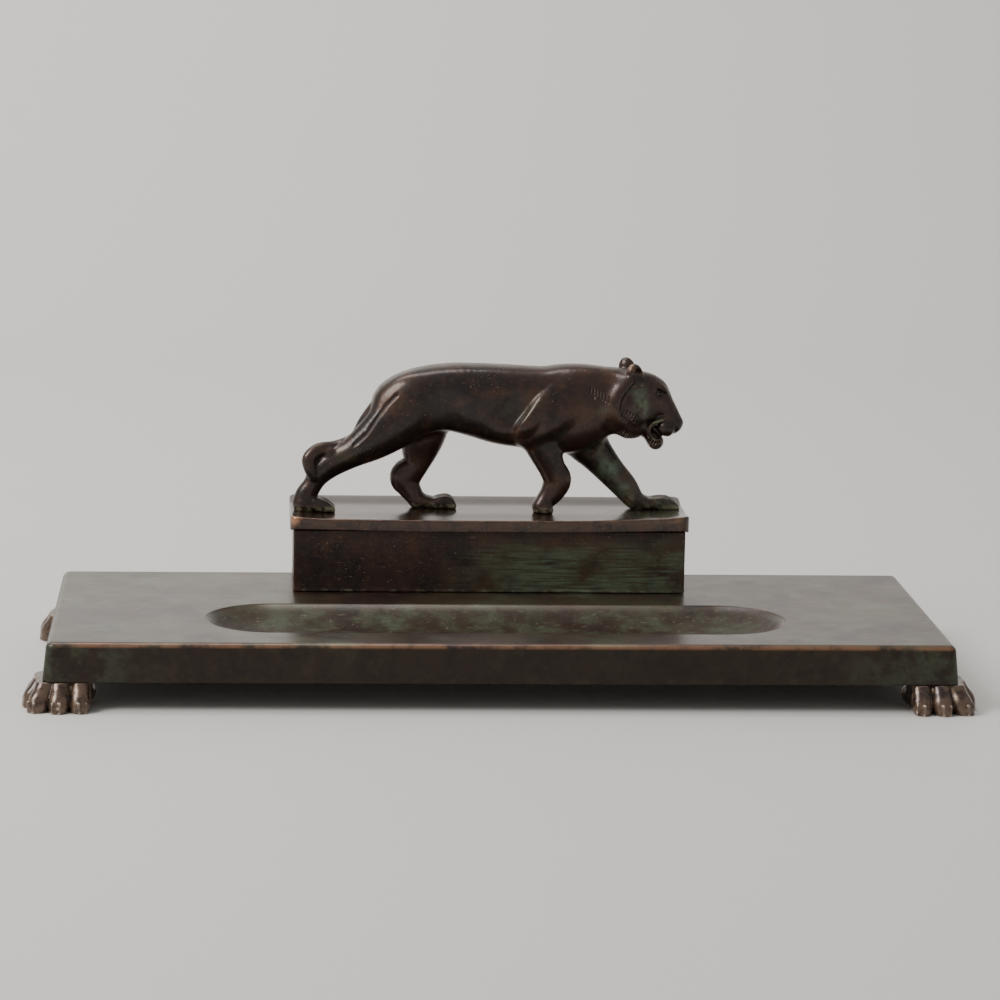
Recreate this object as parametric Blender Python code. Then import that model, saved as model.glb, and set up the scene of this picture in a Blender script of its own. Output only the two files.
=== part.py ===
"""Patinated bronze desk inkstand: a pen tray on four paw feet, with a hinged box of two glass wells.

Lengths are in millimetres until a mesh is made, where MM turns them into metres. The origin is the
centre of the footprint on the desk, +X is the long way and -Y is the side that the writer sits at.
"""

import math

import bmesh
import bpy
from mathutils import Matrix, Vector

MM = 0.001
GAP = 0.3

# Base casting
BASE_LENGTH = 380.0
BASE_DEPTH = 152.0
BASE_UNDERSIDE = 12.0
BASE_TOP = 28.4
BASE_DRAFT = 1.4
BASE_FILLET = 3.0
BASE_CORNER = 5.0
BASE_WALL = 4.0

# Pen tray, a dish sunk in the base
DISH_CENTRE_Y = -24.0
DISH_STRAIGHT = 95.0
DISH_RADIUS = 28.6
DISH_DEPTH = 7.5
DISH_SHARPNESS = 2.6

# Paw feet and their screws
FOOT_CENTRE = (177.0, 61.0)
FOOT_TOP = BASE_UNDERSIDE - GAP
FOOT_BOSS_RADIUS = 7.0
FOOT_SCREW_HEAD = 3.2
FOOT_SCREW_SHANK = 1.8
FOOT_SCREW_HEAD_Z = 2.0
FOOT_SCREW_TIP = 21.0

# Box that holds the wells
BOX_HALF_LENGTH = 86.3
BOX_FRONT = 29.1
BOX_BACK = 72.9
BOX_WALL = 3.2
BOX_FLOOR = 3.0
BOX_BOTTOM = BASE_TOP + GAP
BOX_TOP = 56.0
BOX_CENTRE_Y = (BOX_FRONT + BOX_BACK) / 2
BOX_SCREW_X = 30.0
BOX_SCREW_Y = 13.0
BOX_SCREW_HEAD = 3.0
BOX_SCREW_SHANK = 1.6
BOX_SCREW_HEAD_Z = BASE_TOP - BASE_WALL - 1.6
BOX_SCREW_TIP = BOX_BOTTOM + BOX_FLOOR - 0.9

# Glass wells and the plates beside them
WELL_SIZE = 36.6
WELL_TOP = 54.4
WELL_BORE = 14.6
WELL_FLARE = 1.6
WELL_FLOOR = 4.0
WELL_CENTRE_X = BOX_HALF_LENGTH - BOX_WALL - GAP - WELL_SIZE / 2
PARTITION = 2.0
PARTITION_X = WELL_CENTRE_X - WELL_SIZE / 2 - GAP - PARTITION / 2
PARTITION_TOP = 52.0

# Lid
LID_OVERHANG = 1.5
LID_HALF_LENGTH = BOX_HALF_LENGTH + LID_OVERHANG
LID_FRONT = BOX_FRONT - LID_OVERHANG
LID_BACK = BOX_BACK + LID_OVERHANG
LID_CENTRE_Y = (LID_FRONT + LID_BACK) / 2
LID_SEAT = BOX_TOP + GAP
LID_TOP = 61.6
LID_END_RISE = 0.5
LID_BACK_RISE = 2.0
LID_SKIRT = 1.2
LID_SKIRT_BOTTOM = 55.6
LID_CORNER = 4.0
LID_RECESS_DEPTH = 1.8
LID_SIDES = (8, 4)

# Figure and its screws
SOLE = 62.4
NEAR_Y = 45.5
FAR_Y = 56.5
BODY_Y = 51.0
FIGURE_SCREW_HEAD = 2.4
FIGURE_SCREW_SHANK = 1.2
FIGURE_SCREW_HEAD_Z = LID_SEAT + LID_RECESS_DEPTH + 0.2
FIGURE_SCREW_TIP = 65.4
FIGURE_SCREW_SPOTS = ((-76.5, NEAR_Y), (-25.0, FAR_Y), (23.4, NEAR_Y), (74.0, FAR_Y))

# Hinges behind the lid
HINGE_X = 52.0
HINGE_LENGTH = 26.0
HINGE_AXIS_Y = 76.8
HINGE_AXIS_Z = 56.1
KNUCKLE_RADIUS = 1.9
KNUCKLE_LENGTH = 8.0
PIN_RADIUS = 0.9
BOX_LEAF_THICKNESS = 2.4
BOX_LEAF_Z = (40.0, 54.0)
BOX_RIVET_Z = 46.5
LID_LEAF_THICKNESS = 1.2
LID_LEAF_Z = (58.3, 62.8)
LID_RIVET_Z = 60.5
WEB_OVERLAP = 0.8
RIVET_OFFSET = 8.5
RIVET_SHANK = 1.0
RIVET_HEAD = 1.9
RIVET_GRIP = 2.0

# Each material: base colour, metallic, roughness
PATINA = ("patina_bronze", (0.060, 0.038, 0.030), 1.0, 0.38)
PATINA_GREEN = ("tray_bronze", (0.075, 0.065, 0.048), 1.0, 0.42)
BRASS = ("aged_brass", (0.36, 0.24, 0.10), 1.0, 0.35)
STEEL = ("screw_steel", (0.30, 0.29, 0.28), 1.0, 0.40)
GLASS = ("well_glass", (0.80, 0.90, 0.87), 0.0, 0.05)

FIGURE_VOXEL = 1.0
FIGURE_KEEP = 0.062
SCREW_SIDES = 12
SCREW_LAND = 0.4
SCREW_POINT = 0.8
SLOT_HALF_WIDTH = 0.4
SLOT_DEPTH = 0.6
FOOT_VOXEL = 0.8
FOOT_KEEP = 0.085

# The walking cat, as tapered limbs: x, y, z, radius in side view, half width across
TORSO = (
    (-46, BODY_Y, 106.2, 7.8, 6.5), (-41, BODY_Y, 108.9, 11.6, 10.2), (-31, BODY_Y, 110.8, 14, 12.2),
    (-18, BODY_Y, 112.2, 14.8, 12.8), (-5, BODY_Y, 110.8, 16.3, 12.8), (5, BODY_Y, 109.2, 17.6, 12.8),
    (15, BODY_Y, 108.2, 18.1, 12.6), (25, BODY_Y, 107.5, 18.6, 12.4), (35, BODY_Y, 107.6, 19.7, 12),
    (45, BODY_Y, 110.2, 16.6, 11.2), (55, BODY_Y, 112.4, 12.8, 10.2),
)
SKULL = ((57, BODY_Y, 112, 12.6, 10), (66, BODY_Y, 112.5, 11.5, 9.8), (70.6, BODY_Y, 113.3, 8.9, 8.2))
MUZZLE = ((68, BODY_Y, 110, 10, 8.5), (75, BODY_Y, 108, 7.4, 7), (78.4, BODY_Y, 103.6, 6, 5.8),
          (80.6, BODY_Y, 100.6, 5, 5))
JAW = ((62, BODY_Y, 100.7, 6.4, 7.2), (69, BODY_Y, 98.5, 3.9, 5.2), (74.1, BODY_Y, 92.9, 3.6, 4.2))
NEAR_EAR = ((63.5, 44, 120, 4, 3), (64, 43.3, 124.6, 3.6, 2.6))
FAR_EAR = ((61, 57.5, 121, 4, 3), (61.2, 58.5, 126.4, 3.6, 2.6))
NEAR_HIND_LEG = (
    (-33, 45.4, 109.5, 13.5, 8.4), (-41, 45, 102.4, 12, 8.2), (-50.8, 44.8, 94.3, 9.3, 7.4),
    (-60.6, 45, 87.9, 6.7, 6), (-69.2, 45.2, 83.3, 6.1, 5), (-74.8, NEAR_Y, 78.6, 5.5, 4.6),
    (-77.7, NEAR_Y, 74, 4.8, 4.2), (-80.2, NEAR_Y, 69, 4.7, 4.4), (-80, NEAR_Y, 65, 4.6, 4.8),
)
NEAR_HIND_PAW = ((-80, NEAR_Y, 65, 4.4, 5), (-76, NEAR_Y, 64.8, 3.6, 5.4), (-72, NEAR_Y, 64.4, 3, 5))
TAIL = (
    (-42, 50.6, 114.8, 5, 4.4), (-47.2, 50.2, 108.8, 3.8, 3.6), (-53.9, 49.6, 100.5, 3.3, 3.3),
    (-59.2, 48.5, 93.5, 3.1, 3), (-67.4, 46.6, 90.1, 3, 2.9), (-75.2, 44.2, 89, 3.2, 2.9),
    (-80, 42.8, 85.6, 3.2, 2.8), (-79.3, 42, 81, 2.7, 2.6), (-77.8, 41.8, 77.4, 1.9, 1.9),
)
FAR_HIND_LEG = (
    (-27.5, 56, 105, 12, 8.2), (-28.4, FAR_Y, 95, 9.8, 7.8), (-29.4, FAR_Y, 87, 7.5, 6.2),
    (-32.6, FAR_Y, 80.8, 6.4, 5), (-36.2, FAR_Y, 76, 6.9, 4.4), (-35.1, FAR_Y, 71.6, 5.6, 4.2),
    (-32.8, FAR_Y, 67.2, 4.6, 4.4), (-31.2, FAR_Y, 65, 4.2, 4.8),
)
FAR_HIND_PAW = ((-31, FAR_Y, 65, 4, 5), (-23, FAR_Y, 65, 3.2, 5.2), (-17.5, FAR_Y, 64.6, 2.8, 4.8))
NEAR_FRONT_LEG = (
    (34, 45.5, 112, 13, 8.5), (27, 44.8, 104, 12, 8.5), (21.7, 44.6, 96, 10.2, 7.4),
    (24.6, 45, 88.4, 8.3, 6.4), (28.6, 45.3, 81.5, 6.9, 5.4), (30.2, NEAR_Y, 76.2, 6.2, 5),
    (28.2, NEAR_Y, 71.2, 5.3, 4.8), (24.8, NEAR_Y, 67.2, 4.5, 4.8), (23.4, NEAR_Y, 64, 4.4, 5),
)
FAR_FRONT_LEG = (
    (39, 56, 105, 11, 8), (43.4, FAR_Y, 95.4, 9.9, 7.2), (48.8, FAR_Y, 86.8, 8.1, 6),
    (55.2, FAR_Y, 78.8, 7, 5), (60.9, FAR_Y, 71.9, 5.9, 4.6), (65.1, FAR_Y, 66.6, 4.7, 4.7),
)
FAR_FRONT_PAW = ((66, FAR_Y, 66, 4.4, 5), (74, FAR_Y, 65, 3.5, 5.4), (82, FAR_Y, 64.4, 2.9, 4.8))
CAT = (
    TORSO, SKULL, MUZZLE, JAW, NEAR_EAR, FAR_EAR, TAIL, NEAR_HIND_LEG, NEAR_HIND_PAW,
    FAR_HIND_LEG, FAR_HIND_PAW, NEAR_FRONT_LEG, FAR_FRONT_LEG, FAR_FRONT_PAW,
)

# One paw foot, at the corner of +X and +Y: the heel, and the knuckle that each toe ends in
PAW_HEEL = (172.0, 56.0)
PAW_TOES = ((174.0, 77.0), (183.0, 78.6), (190.3, 75.8), (194.2, 68.2), (194.4, 59.5))
TOE_RADIUS = 3.9


# ---------------------------------------------------------------- geometry helpers


def blend(low, high, value):
    """Smooth step from 0 at low to 1 at high."""
    share = min(max((value - low) / (high - low), 0.0), 1.0)
    return share * share * (3 - 2 * share)


def rounded_rectangle(half_x, half_y, radius, z, centre_y=0.0, steps=4, sides=(1, 1)):
    """Counter-clockwise ring of points, seen from above; sides splits the edges along X and along Y."""
    rounds = []
    for corner, (sx, sy) in enumerate(((1, 1), (-1, 1), (-1, -1), (1, -1))):
        for step in range(steps + 1):
            angle = math.radians(90 * corner + 90 * step / steps)
            x = sx * (half_x - radius) + radius * math.cos(angle)
            y = sy * (half_y - radius) + radius * math.sin(angle)
            rounds.append(Vector((x, y + centre_y, z)))
    points = []
    for i, point in enumerate(rounds):
        points.append(point)
        if i % (steps + 1) == steps:
            after = rounds[(i + 1) % len(rounds)]
            parts = sides[(i // (steps + 1)) % 2]
            points += [point.lerp(after, k / parts) for k in range(1, parts)]
    return points


def stadium(straight, radius, z, steps=12):
    """Counter-clockwise ring with round ends, seen from above, around the pen tray's centre."""
    points = []
    for side in (1, -1):
        for step in range(steps + 1):
            angle = math.radians(-90 + 180 * step / steps)
            x = side * (straight + radius * math.cos(angle))
            points.append(Vector((x, DISH_CENTRE_Y + side * radius * math.sin(angle), z)))
    return points


def circle(radius, z, segments):
    turn = 2 * math.pi / segments
    return [Vector((radius * math.cos(turn * i), radius * math.sin(turn * i), z)) for i in range(segments)]


def loft(bm, rings, cap=True):
    """Skins a stack of rings that have the same number of points, from the lowest to the highest."""
    rows = [[bm.verts.new(point) for point in ring] for ring in rings]
    count = len(rows[0])
    for low, high in zip(rows, rows[1:]):
        for i in range(count):
            j = (i + 1) % count
            bm.faces.new((low[i], low[j], high[j], high[i]))
    if cap:
        bm.faces.new(list(reversed(rows[0])))
        bm.faces.new(rows[-1])
    return [vert for row in rows for vert in row]


def turned(bm, profile, segments, matrix=None):
    """Solid of revolution about Z, from (radius, z) pairs given from the bottom up."""
    verts = loft(bm, [circle(radius, z, segments) for radius, z in profile])
    if matrix is not None:
        bmesh.ops.transform(bm, matrix=matrix, verts=verts)


def block(bm, x, y, z):
    """Box between pairs of limits."""
    corners = [(x[0], y[0]), (x[1], y[0]), (x[1], y[1]), (x[0], y[1])]
    loft(bm, [[Vector((cx, cy, level)) for cx, cy in corners] for level in z])


def catmull_rom(a, b, c, d, t):
    square = (2 * a - 5 * b + 4 * c - d) * t * t
    cube = (3 * b - a - 3 * c + d) * t**3
    return 0.5 * (2 * b + (c - a) * t + square + cube)


def smooth_path(stations, steps):
    """Catmull-Rom points through the stations, end points kept."""
    padded = [stations[0], *stations, stations[-1]]
    points = []
    for i in range(len(stations) - 1):
        p0, p1, p2, p3 = padded[i : i + 4]
        for step in range(steps):
            t = step / steps
            points.append([catmull_rom(*values, t) for values in zip(p0, p1, p2, p3)])
    points.append(list(stations[-1]))
    return points


def round_cap(end, sign, cap_rings):
    """Shrinking cross-sections that close a limb with a rounded end."""
    place, along, up, across, high, wide = end
    caps = []
    for ring in range(1, cap_rings + 1):
        angle = math.radians(88 * ring / cap_rings)
        centre = place + along * (sign * min(high, wide) * math.sin(angle))
        caps.append((centre, along, up, across, high * math.cos(angle), wide * math.cos(angle)))
    return caps


def limb(bm, stations, steps=3, segments=14, cap_rings=3, level_limb=True):
    """Rounded tapered tube; its half width lies along Y, or level and square to the limb."""
    path = smooth_path(stations, steps)
    places = [Vector(p[:3]) for p in path]
    frames = []
    for i, place in enumerate(places):
        along = (places[min(i + 1, len(places) - 1)] - places[max(i - 1, 0)]).normalized()
        sideways = Vector((0, 1, 0)) if level_limb else Vector((-along.y, along.x, 0)).normalized()
        frames.append((place, along, along.cross(sideways).normalized(), sideways, path[i][3], path[i][4]))
    start_cap = round_cap(frames[0], -1, cap_rings)
    end_cap = round_cap(frames[-1], 1, cap_rings)
    rings = []
    for place, _, up, across, high, wide in [*reversed(start_cap), *frames, *end_cap]:
        turns = [2 * math.pi * i / segments for i in range(segments)]
        rings.append([place + up * (high * math.cos(a)) + across * (wide * math.sin(a)) for a in turns])
    loft(bm, rings)


# ---------------------------------------------------------------- scene helpers


def material(spec):
    name, colour, metallic, roughness = spec
    found = bpy.data.materials.get(name)
    if found:
        return found
    made = bpy.data.materials.new(name)
    made.use_nodes = True
    made.diffuse_color = (*colour, 1)
    shader = made.node_tree.nodes["Principled BSDF"]
    shader.inputs["Base Color"].default_value = (*colour, 1)
    shader.inputs["Metallic"].default_value = metallic
    shader.inputs["Roughness"].default_value = roughness
    return made


def place_mesh(name, bm, parent=None):
    """Turns millimetres into metres and puts the mesh into the scene, with its origin at its parent's."""
    bmesh.ops.recalc_face_normals(bm, faces=bm.faces)
    bmesh.ops.scale(bm, vec=(MM, MM, MM), verts=bm.verts)
    if parent:
        bmesh.ops.translate(bm, vec=-parent.location, verts=bm.verts)
    mesh = bpy.data.meshes.new(name)
    bm.to_mesh(mesh)
    bm.free()
    obj = bpy.data.objects.new(name, mesh)
    obj.parent = parent
    bpy.context.scene.collection.objects.link(obj)
    return obj


def piece(name, bm, spec, parent=None, smooth_angle=35):
    obj = place_mesh(name, bm, parent)
    obj.data.shade_smooth()
    obj.data.set_sharp_from_angle(angle=math.radians(smooth_angle))
    obj.data.materials.append(material(spec))
    return obj


def combine(obj, operation, cutter_name, bm):
    """Boolean of the object with a hidden guide mesh, which may hold several separate solids."""
    guide = place_mesh(cutter_name, bm, obj.parent)
    guide.hide_render = True
    guide.display_type = "WIRE"
    step = obj.modifiers.new(cutter_name, "BOOLEAN")
    step.operation = operation
    step.solver = "EXACT"
    step.object = guide


def screw(bm, x, y, head_z, tip_z, head_radius, shank_radius):
    """Countersunk screw that points up, head at the bottom, with a slot across the head."""
    cone = head_radius - shank_radius
    rings = [
        circle(head_radius, head_z, SCREW_SIDES),
        circle(head_radius, head_z + SCREW_LAND, SCREW_SIDES),
        circle(shank_radius, head_z + SCREW_LAND + cone, SCREW_SIDES),
        circle(shank_radius, tip_z - SCREW_POINT, SCREW_SIDES),
        circle(shank_radius * 0.5, tip_z, SCREW_SIDES),
    ]
    verts = loft(bm, rings)
    bmesh.ops.translate(bm, vec=(x, y, 0), verts=verts)


def screw_hole(bm, x, y, head_z, tip_z, head_radius, shank_radius):
    """Hole for the same screw, wider by the fit gap, with an open countersink."""
    cone = head_radius - shank_radius
    rings = [
        circle(head_radius + GAP, head_z - 5, SCREW_SIDES),
        circle(head_radius + GAP, head_z + SCREW_LAND, SCREW_SIDES),
        circle(shank_radius + GAP, head_z + SCREW_LAND + cone + GAP / 2, SCREW_SIDES),
        circle(shank_radius + GAP, tip_z + GAP, SCREW_SIDES),
    ]
    verts = loft(bm, rings)
    bmesh.ops.translate(bm, vec=(x, y, 0), verts=verts)


def slot_cutter(bm, x, y, head_z, head_radius):
    x_limits = (x - head_radius - 1, x + head_radius + 1)
    block(bm, x_limits, (y - SLOT_HALF_WIDTH, y + SLOT_HALF_WIDTH), (head_z - 1, head_z + SLOT_DEPTH))


# ---------------------------------------------------------------- base and feet


def base_tray():
    bm = bmesh.new()
    half_x, half_y = BASE_LENGTH / 2, BASE_DEPTH / 2
    rings = [
        rounded_rectangle(half_x - 0.5, half_y - 0.5, BASE_CORNER - 0.5, BASE_UNDERSIDE),
        rounded_rectangle(half_x, half_y, BASE_CORNER, BASE_UNDERSIDE + 0.5),
    ]
    for step in range(5):
        angle = math.radians(90 * step / 4)
        inset = BASE_DRAFT + BASE_FILLET * (1 - math.cos(angle))
        z = BASE_TOP - BASE_FILLET * (1 - math.sin(angle))
        rings.append(rounded_rectangle(half_x - inset, half_y - inset, BASE_CORNER - inset, z))
    loft(bm, rings)
    base = piece("base_tray", bm, PATINA_GREEN)

    hollow = bmesh.new()
    inner_x, inner_y = half_x - BASE_WALL, half_y - BASE_WALL
    loft(hollow, [
        rounded_rectangle(inner_x, inner_y, 3, BASE_UNDERSIDE - 1),
        rounded_rectangle(inner_x - 1, inner_y - 1, 3, BASE_TOP - BASE_WALL),
    ])
    combine(base, "DIFFERENCE", "base_hollow", hollow)

    metal = bmesh.new()
    loft(metal, dish_rings(BASE_WALL, BASE_TOP - 1.0))
    for x, y in corners(FOOT_CENTRE):
        low, high = circle(FOOT_BOSS_RADIUS, BASE_UNDERSIDE, 20), circle(FOOT_BOSS_RADIUS, BASE_TOP - 2.0, 20)
        boss = loft(metal, [low, high])
        bmesh.ops.translate(metal, vec=(x, y, 0), verts=boss)
    combine(base, "UNION", "base_bosses", metal)

    dish = bmesh.new()
    loft(dish, [*dish_rings(0.0, BASE_TOP), stadium(DISH_STRAIGHT, DISH_RADIUS, BASE_TOP + 2)])
    combine(base, "DIFFERENCE", "pen_tray_dish", dish)

    holes = bmesh.new()
    for x, y in corners(FOOT_CENTRE):
        foot_screw_hole(holes, x, y)
    for x, y in box_screw_spots():
        box_screw_hole(holes, x, y)
    combine(base, "DIFFERENCE", "base_screw_holes", holes)


def dish_rings(offset, top):
    """Rings of the concave pen tray, from its floor up to its rim, grown outward by an offset."""
    rings = []
    for share in (0.12, 0.35, 0.55, 0.72, 0.86, 0.95, 1.0):
        rim = share**6
        drop = DISH_DEPTH * (1 - share**DISH_SHARPNESS) + offset * (1 - rim) + (BASE_TOP - top) * rim
        rings.append(stadium(DISH_STRAIGHT, (DISH_RADIUS + offset) * share, BASE_TOP - drop))
    return rings


def corners(centre):
    return [(sx * centre[0], sy * centre[1]) for sx, sy in ((-1, -1), (1, -1), (-1, 1), (1, 1))]


def foot_screw_hole(bm, x, y):
    screw_hole(bm, x, y, FOOT_SCREW_HEAD_Z, FOOT_SCREW_TIP, FOOT_SCREW_HEAD, FOOT_SCREW_SHANK)


def paw_foot(name, sign_x, sign_y):
    """Lion's paw that wraps the corner of the base, cut flat where it meets the base and the desk."""
    bm = bmesh.new()
    heel_x, heel_y = PAW_HEEL
    pad = ((heel_x, heel_y, 6, 8, 8), (heel_x + 6, heel_y + 7, 7, 9, 9), (heel_x + 12, heel_y + 13, 5, 7, 7))
    limb(bm, pad, level_limb=False)
    for toe_x, toe_y in PAW_TOES:
        toe(bm, toe_x, toe_y, TOE_RADIUS)
    for (x0, y0), (x1, y1) in zip(PAW_TOES, PAW_TOES[1:]):
        toe(bm, 0.48 * (x0 + x1) + 0.04 * heel_x, 0.48 * (y0 + y1) + 0.04 * heel_y, TOE_RADIUS - 0.7)
    bmesh.ops.scale(bm, vec=(sign_x, sign_y, 1), verts=bm.verts)
    foot = piece(name, bm, PATINA)
    fuse_and_thin(foot, FOOT_VOXEL, FOOT_KEEP)

    keep = bmesh.new()
    x_limits = sorted((sign_x * 155.0, sign_x * 205.0))
    y_limits = sorted((sign_y * 45.0, sign_y * 90.0))
    block(keep, x_limits, y_limits, (0.0, FOOT_TOP))
    combine(foot, "INTERSECT", f"{name}_limits", keep)

    hole = bmesh.new()
    foot_screw_hole(hole, sign_x * FOOT_CENTRE[0], sign_y * FOOT_CENTRE[1])
    combine(foot, "DIFFERENCE", f"{name}_hole", hole)


def toe(bm, x, y, radius):
    """One ridge from the heel out to a knuckle."""
    heel_x, heel_y = PAW_HEEL
    mid_x, mid_y = 0.35 * heel_x + 0.65 * x, 0.35 * heel_y + 0.65 * y
    limb(bm, (
        (heel_x + 2, heel_y + 2, 7.5, radius, radius), (mid_x, mid_y, 8.6, radius + 0.6, radius + 0.4),
        (x, y, radius - 0.5, radius, radius),
    ), segments=12, level_limb=False)


def fuse_and_thin(obj, voxel, keep):
    """Melts overlapping limbs into one skin, softens it, and keeps a share of its faces."""
    fuse = obj.modifiers.new("fuse", "REMESH")
    fuse.mode = "VOXEL"
    fuse.voxel_size = voxel * MM
    soften = obj.modifiers.new("soften", "SMOOTH")
    soften.factor = 0.5
    soften.iterations = 3
    thin = obj.modifiers.new("thin", "DECIMATE")
    thin.ratio = keep


def foot_parts():
    names = ("front_left", "front_right", "back_left", "back_right")
    for name, (sign_x, sign_y) in zip(names, ((-1, -1), (1, -1), (-1, 1), (1, 1))):
        paw_foot(f"foot_{name}", sign_x, sign_y)
        x, y = sign_x * FOOT_CENTRE[0], sign_y * FOOT_CENTRE[1]
        slotted_screw(f"foot_screw_{name}", x, y, FOOT_SCREW_HEAD_Z, FOOT_SCREW_TIP,
                      FOOT_SCREW_HEAD, FOOT_SCREW_SHANK)


def slotted_screw(name, x, y, head_z, tip_z, head_radius, shank_radius, parent=None):
    bm = bmesh.new()
    screw(bm, x, y, head_z, tip_z, head_radius, shank_radius)
    made = piece(name, bm, STEEL, parent)
    slot = bmesh.new()
    slot_cutter(slot, x, y, head_z, head_radius)
    combine(made, "DIFFERENCE", f"{name}_slot", slot)


# ---------------------------------------------------------------- box, partitions and wells


def box_screw_spots():
    return [(sx * BOX_SCREW_X, BOX_CENTRE_Y + sy * BOX_SCREW_Y) for sx in (-1, 1) for sy in (-1, 1)]



def box_screw_hole(bm, x, y):
    screw_hole(bm, x, y, BOX_SCREW_HEAD_Z, BOX_SCREW_TIP, BOX_SCREW_HEAD, BOX_SCREW_SHANK)


def well_box():
    bm = bmesh.new()
    half_y = (BOX_BACK - BOX_FRONT) / 2
    loft(bm, [
        rounded_rectangle(BOX_HALF_LENGTH, half_y, 0.8, z, BOX_CENTRE_Y, 2) for z in (BOX_BOTTOM, BOX_TOP)
    ])
    box = piece("well_box", bm, PATINA)

    cavity = bmesh.new()
    inner_x, inner_y = BOX_HALF_LENGTH - BOX_WALL, half_y - BOX_WALL
    levels = (BOX_BOTTOM + BOX_FLOOR, BOX_TOP + 5)
    loft(cavity, [rounded_rectangle(inner_x, inner_y, 1.0, z, BOX_CENTRE_Y, 2) for z in levels])
    combine(box, "DIFFERENCE", "box_cavity", cavity)

    holes = bmesh.new()
    for x, y in box_screw_spots():
        box_screw_hole(holes, x, y)
    for x in rivet_spots():
        rivet_hole(holes, x, BOX_BACK, BOX_RIVET_Z)
    combine(box, "DIFFERENCE", "box_screw_holes", holes)


def box_parts():
    well_box()
    for i, (x, y) in enumerate(box_screw_spots(), 1):
        slotted_screw(f"box_screw_{i}", x, y, BOX_SCREW_HEAD_Z, BOX_SCREW_TIP,
                      BOX_SCREW_HEAD, BOX_SCREW_SHANK)
    for side, sign in (("left", -1), ("right", 1)):
        partition(f"partition_{side}", sign)
        glass_well(f"glass_well_{side}", sign)


def partition(name, sign):
    """Loose brass plate that keeps a well apart from the middle compartment, rounded at the top."""
    bm = bmesh.new()
    half_y = (BOX_BACK - BOX_FRONT) / 2 - BOX_WALL - GAP
    x = sign * PARTITION_X
    bottom = BOX_BOTTOM + BOX_FLOOR + GAP
    y_limits = (BOX_CENTRE_Y - half_y, BOX_CENTRE_Y + half_y)
    block(bm, (x - PARTITION / 2, x + PARTITION / 2), y_limits, (bottom, PARTITION_TOP))
    plate = piece(name, bm, BRASS)
    edge = plate.modifiers.new("edge", "BEVEL")
    edge.width = 0.5 * MM
    edge.segments = 2


def glass_well(name, sign):
    """Square pressed glass well with a round bore that is open at the top."""
    bm = bmesh.new()
    bottom = BOX_BOTTOM + BOX_FLOOR + GAP
    half = WELL_SIZE / 2
    levels = ((half - 1, bottom), (half, bottom + 1), (half, WELL_TOP - 1), (half - 1, WELL_TOP))
    verts = loft(bm, [rounded_rectangle(size, size, 4, z, BOX_CENTRE_Y) for size, z in levels])
    bmesh.ops.translate(bm, vec=(sign * WELL_CENTRE_X, 0, 0), verts=verts)
    well = piece(name, bm, GLASS)

    bore = bmesh.new()
    floor = bottom + WELL_FLOOR
    profile = [(WELL_BORE * 0.45, floor), (WELL_BORE * 0.85, floor + 1.2), (WELL_BORE, floor + 4.5)]
    mouth = WELL_BORE + WELL_FLARE
    profile += [(WELL_BORE, WELL_TOP - 1.5), (mouth, WELL_TOP + 0.1), (mouth, WELL_TOP + 2)]
    turned(bore, profile, 32, Matrix.Translation((sign * WELL_CENTRE_X, BOX_CENTRE_Y, 0)))
    combine(well, "DIFFERENCE", f"{name}_bore", bore)


# ---------------------------------------------------------------- lid and figure


def lid_height(x, y):
    """Top of the lid: level under the figure, rising a little to the ends and more to the back."""
    ends = LID_END_RISE * blend(0.5 * LID_HALF_LENGTH, LID_HALF_LENGTH, abs(x))
    back = LID_BACK_RISE * blend(LID_BACK - 14, LID_BACK, y)
    return LID_TOP + ends + back


def lid(parent):
    bm = bmesh.new()
    half_y = (LID_BACK - LID_FRONT) / 2

    def outline(inset, drop=None):
        corner = max(LID_CORNER - inset, 0.6)
        ring = rounded_rectangle(LID_HALF_LENGTH - inset, half_y - inset, corner, LID_SKIRT_BOTTOM,
                                 LID_CENTRE_Y, 3, LID_SIDES)
        if drop is not None:
            for point in ring:
                point.z = lid_height(point.x, point.y) - drop
        return ring

    rings = [outline(0.4), outline(0.0, 5.2), outline(0.0, 0.6), outline(0.6, 0.0)]
    rings += [outline(inset, 0.0) for inset in (4.0, 8.0, 12.0, 20.0)]
    loft(bm, rings)
    made = piece("lid", bm, PATINA, parent)

    seat = bmesh.new()
    reach = LID_HALF_LENGTH - LID_SKIRT
    block(seat, (-reach, reach), (LID_FRONT + LID_SKIRT, LID_BACK + 5), (LID_SEAT - 5, LID_SEAT))
    combine(made, "DIFFERENCE", "lid_seat", seat)
    recess = bmesh.new()
    margin = LID_OVERHANG + BOX_WALL + 1.0
    reach = LID_HALF_LENGTH - margin
    top = LID_SEAT + LID_RECESS_DEPTH
    block(recess, (-reach, reach), (LID_FRONT + margin, LID_BACK - margin), (LID_SEAT - 4, top))
    combine(made, "DIFFERENCE", "lid_recess", recess)

    holes = bmesh.new()
    for x, y in FIGURE_SCREW_SPOTS:
        figure_screw_hole(holes, x, y)
    for x in rivet_spots():
        rivet_hole(holes, x, LID_BACK, LID_RIVET_Z)
    combine(made, "DIFFERENCE", "lid_screw_holes", holes)



def figure_screw_hole(bm, x, y):
    screw_hole(bm, x, y, FIGURE_SCREW_HEAD_Z, FIGURE_SCREW_TIP, FIGURE_SCREW_HEAD, FIGURE_SCREW_SHANK)


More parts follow.
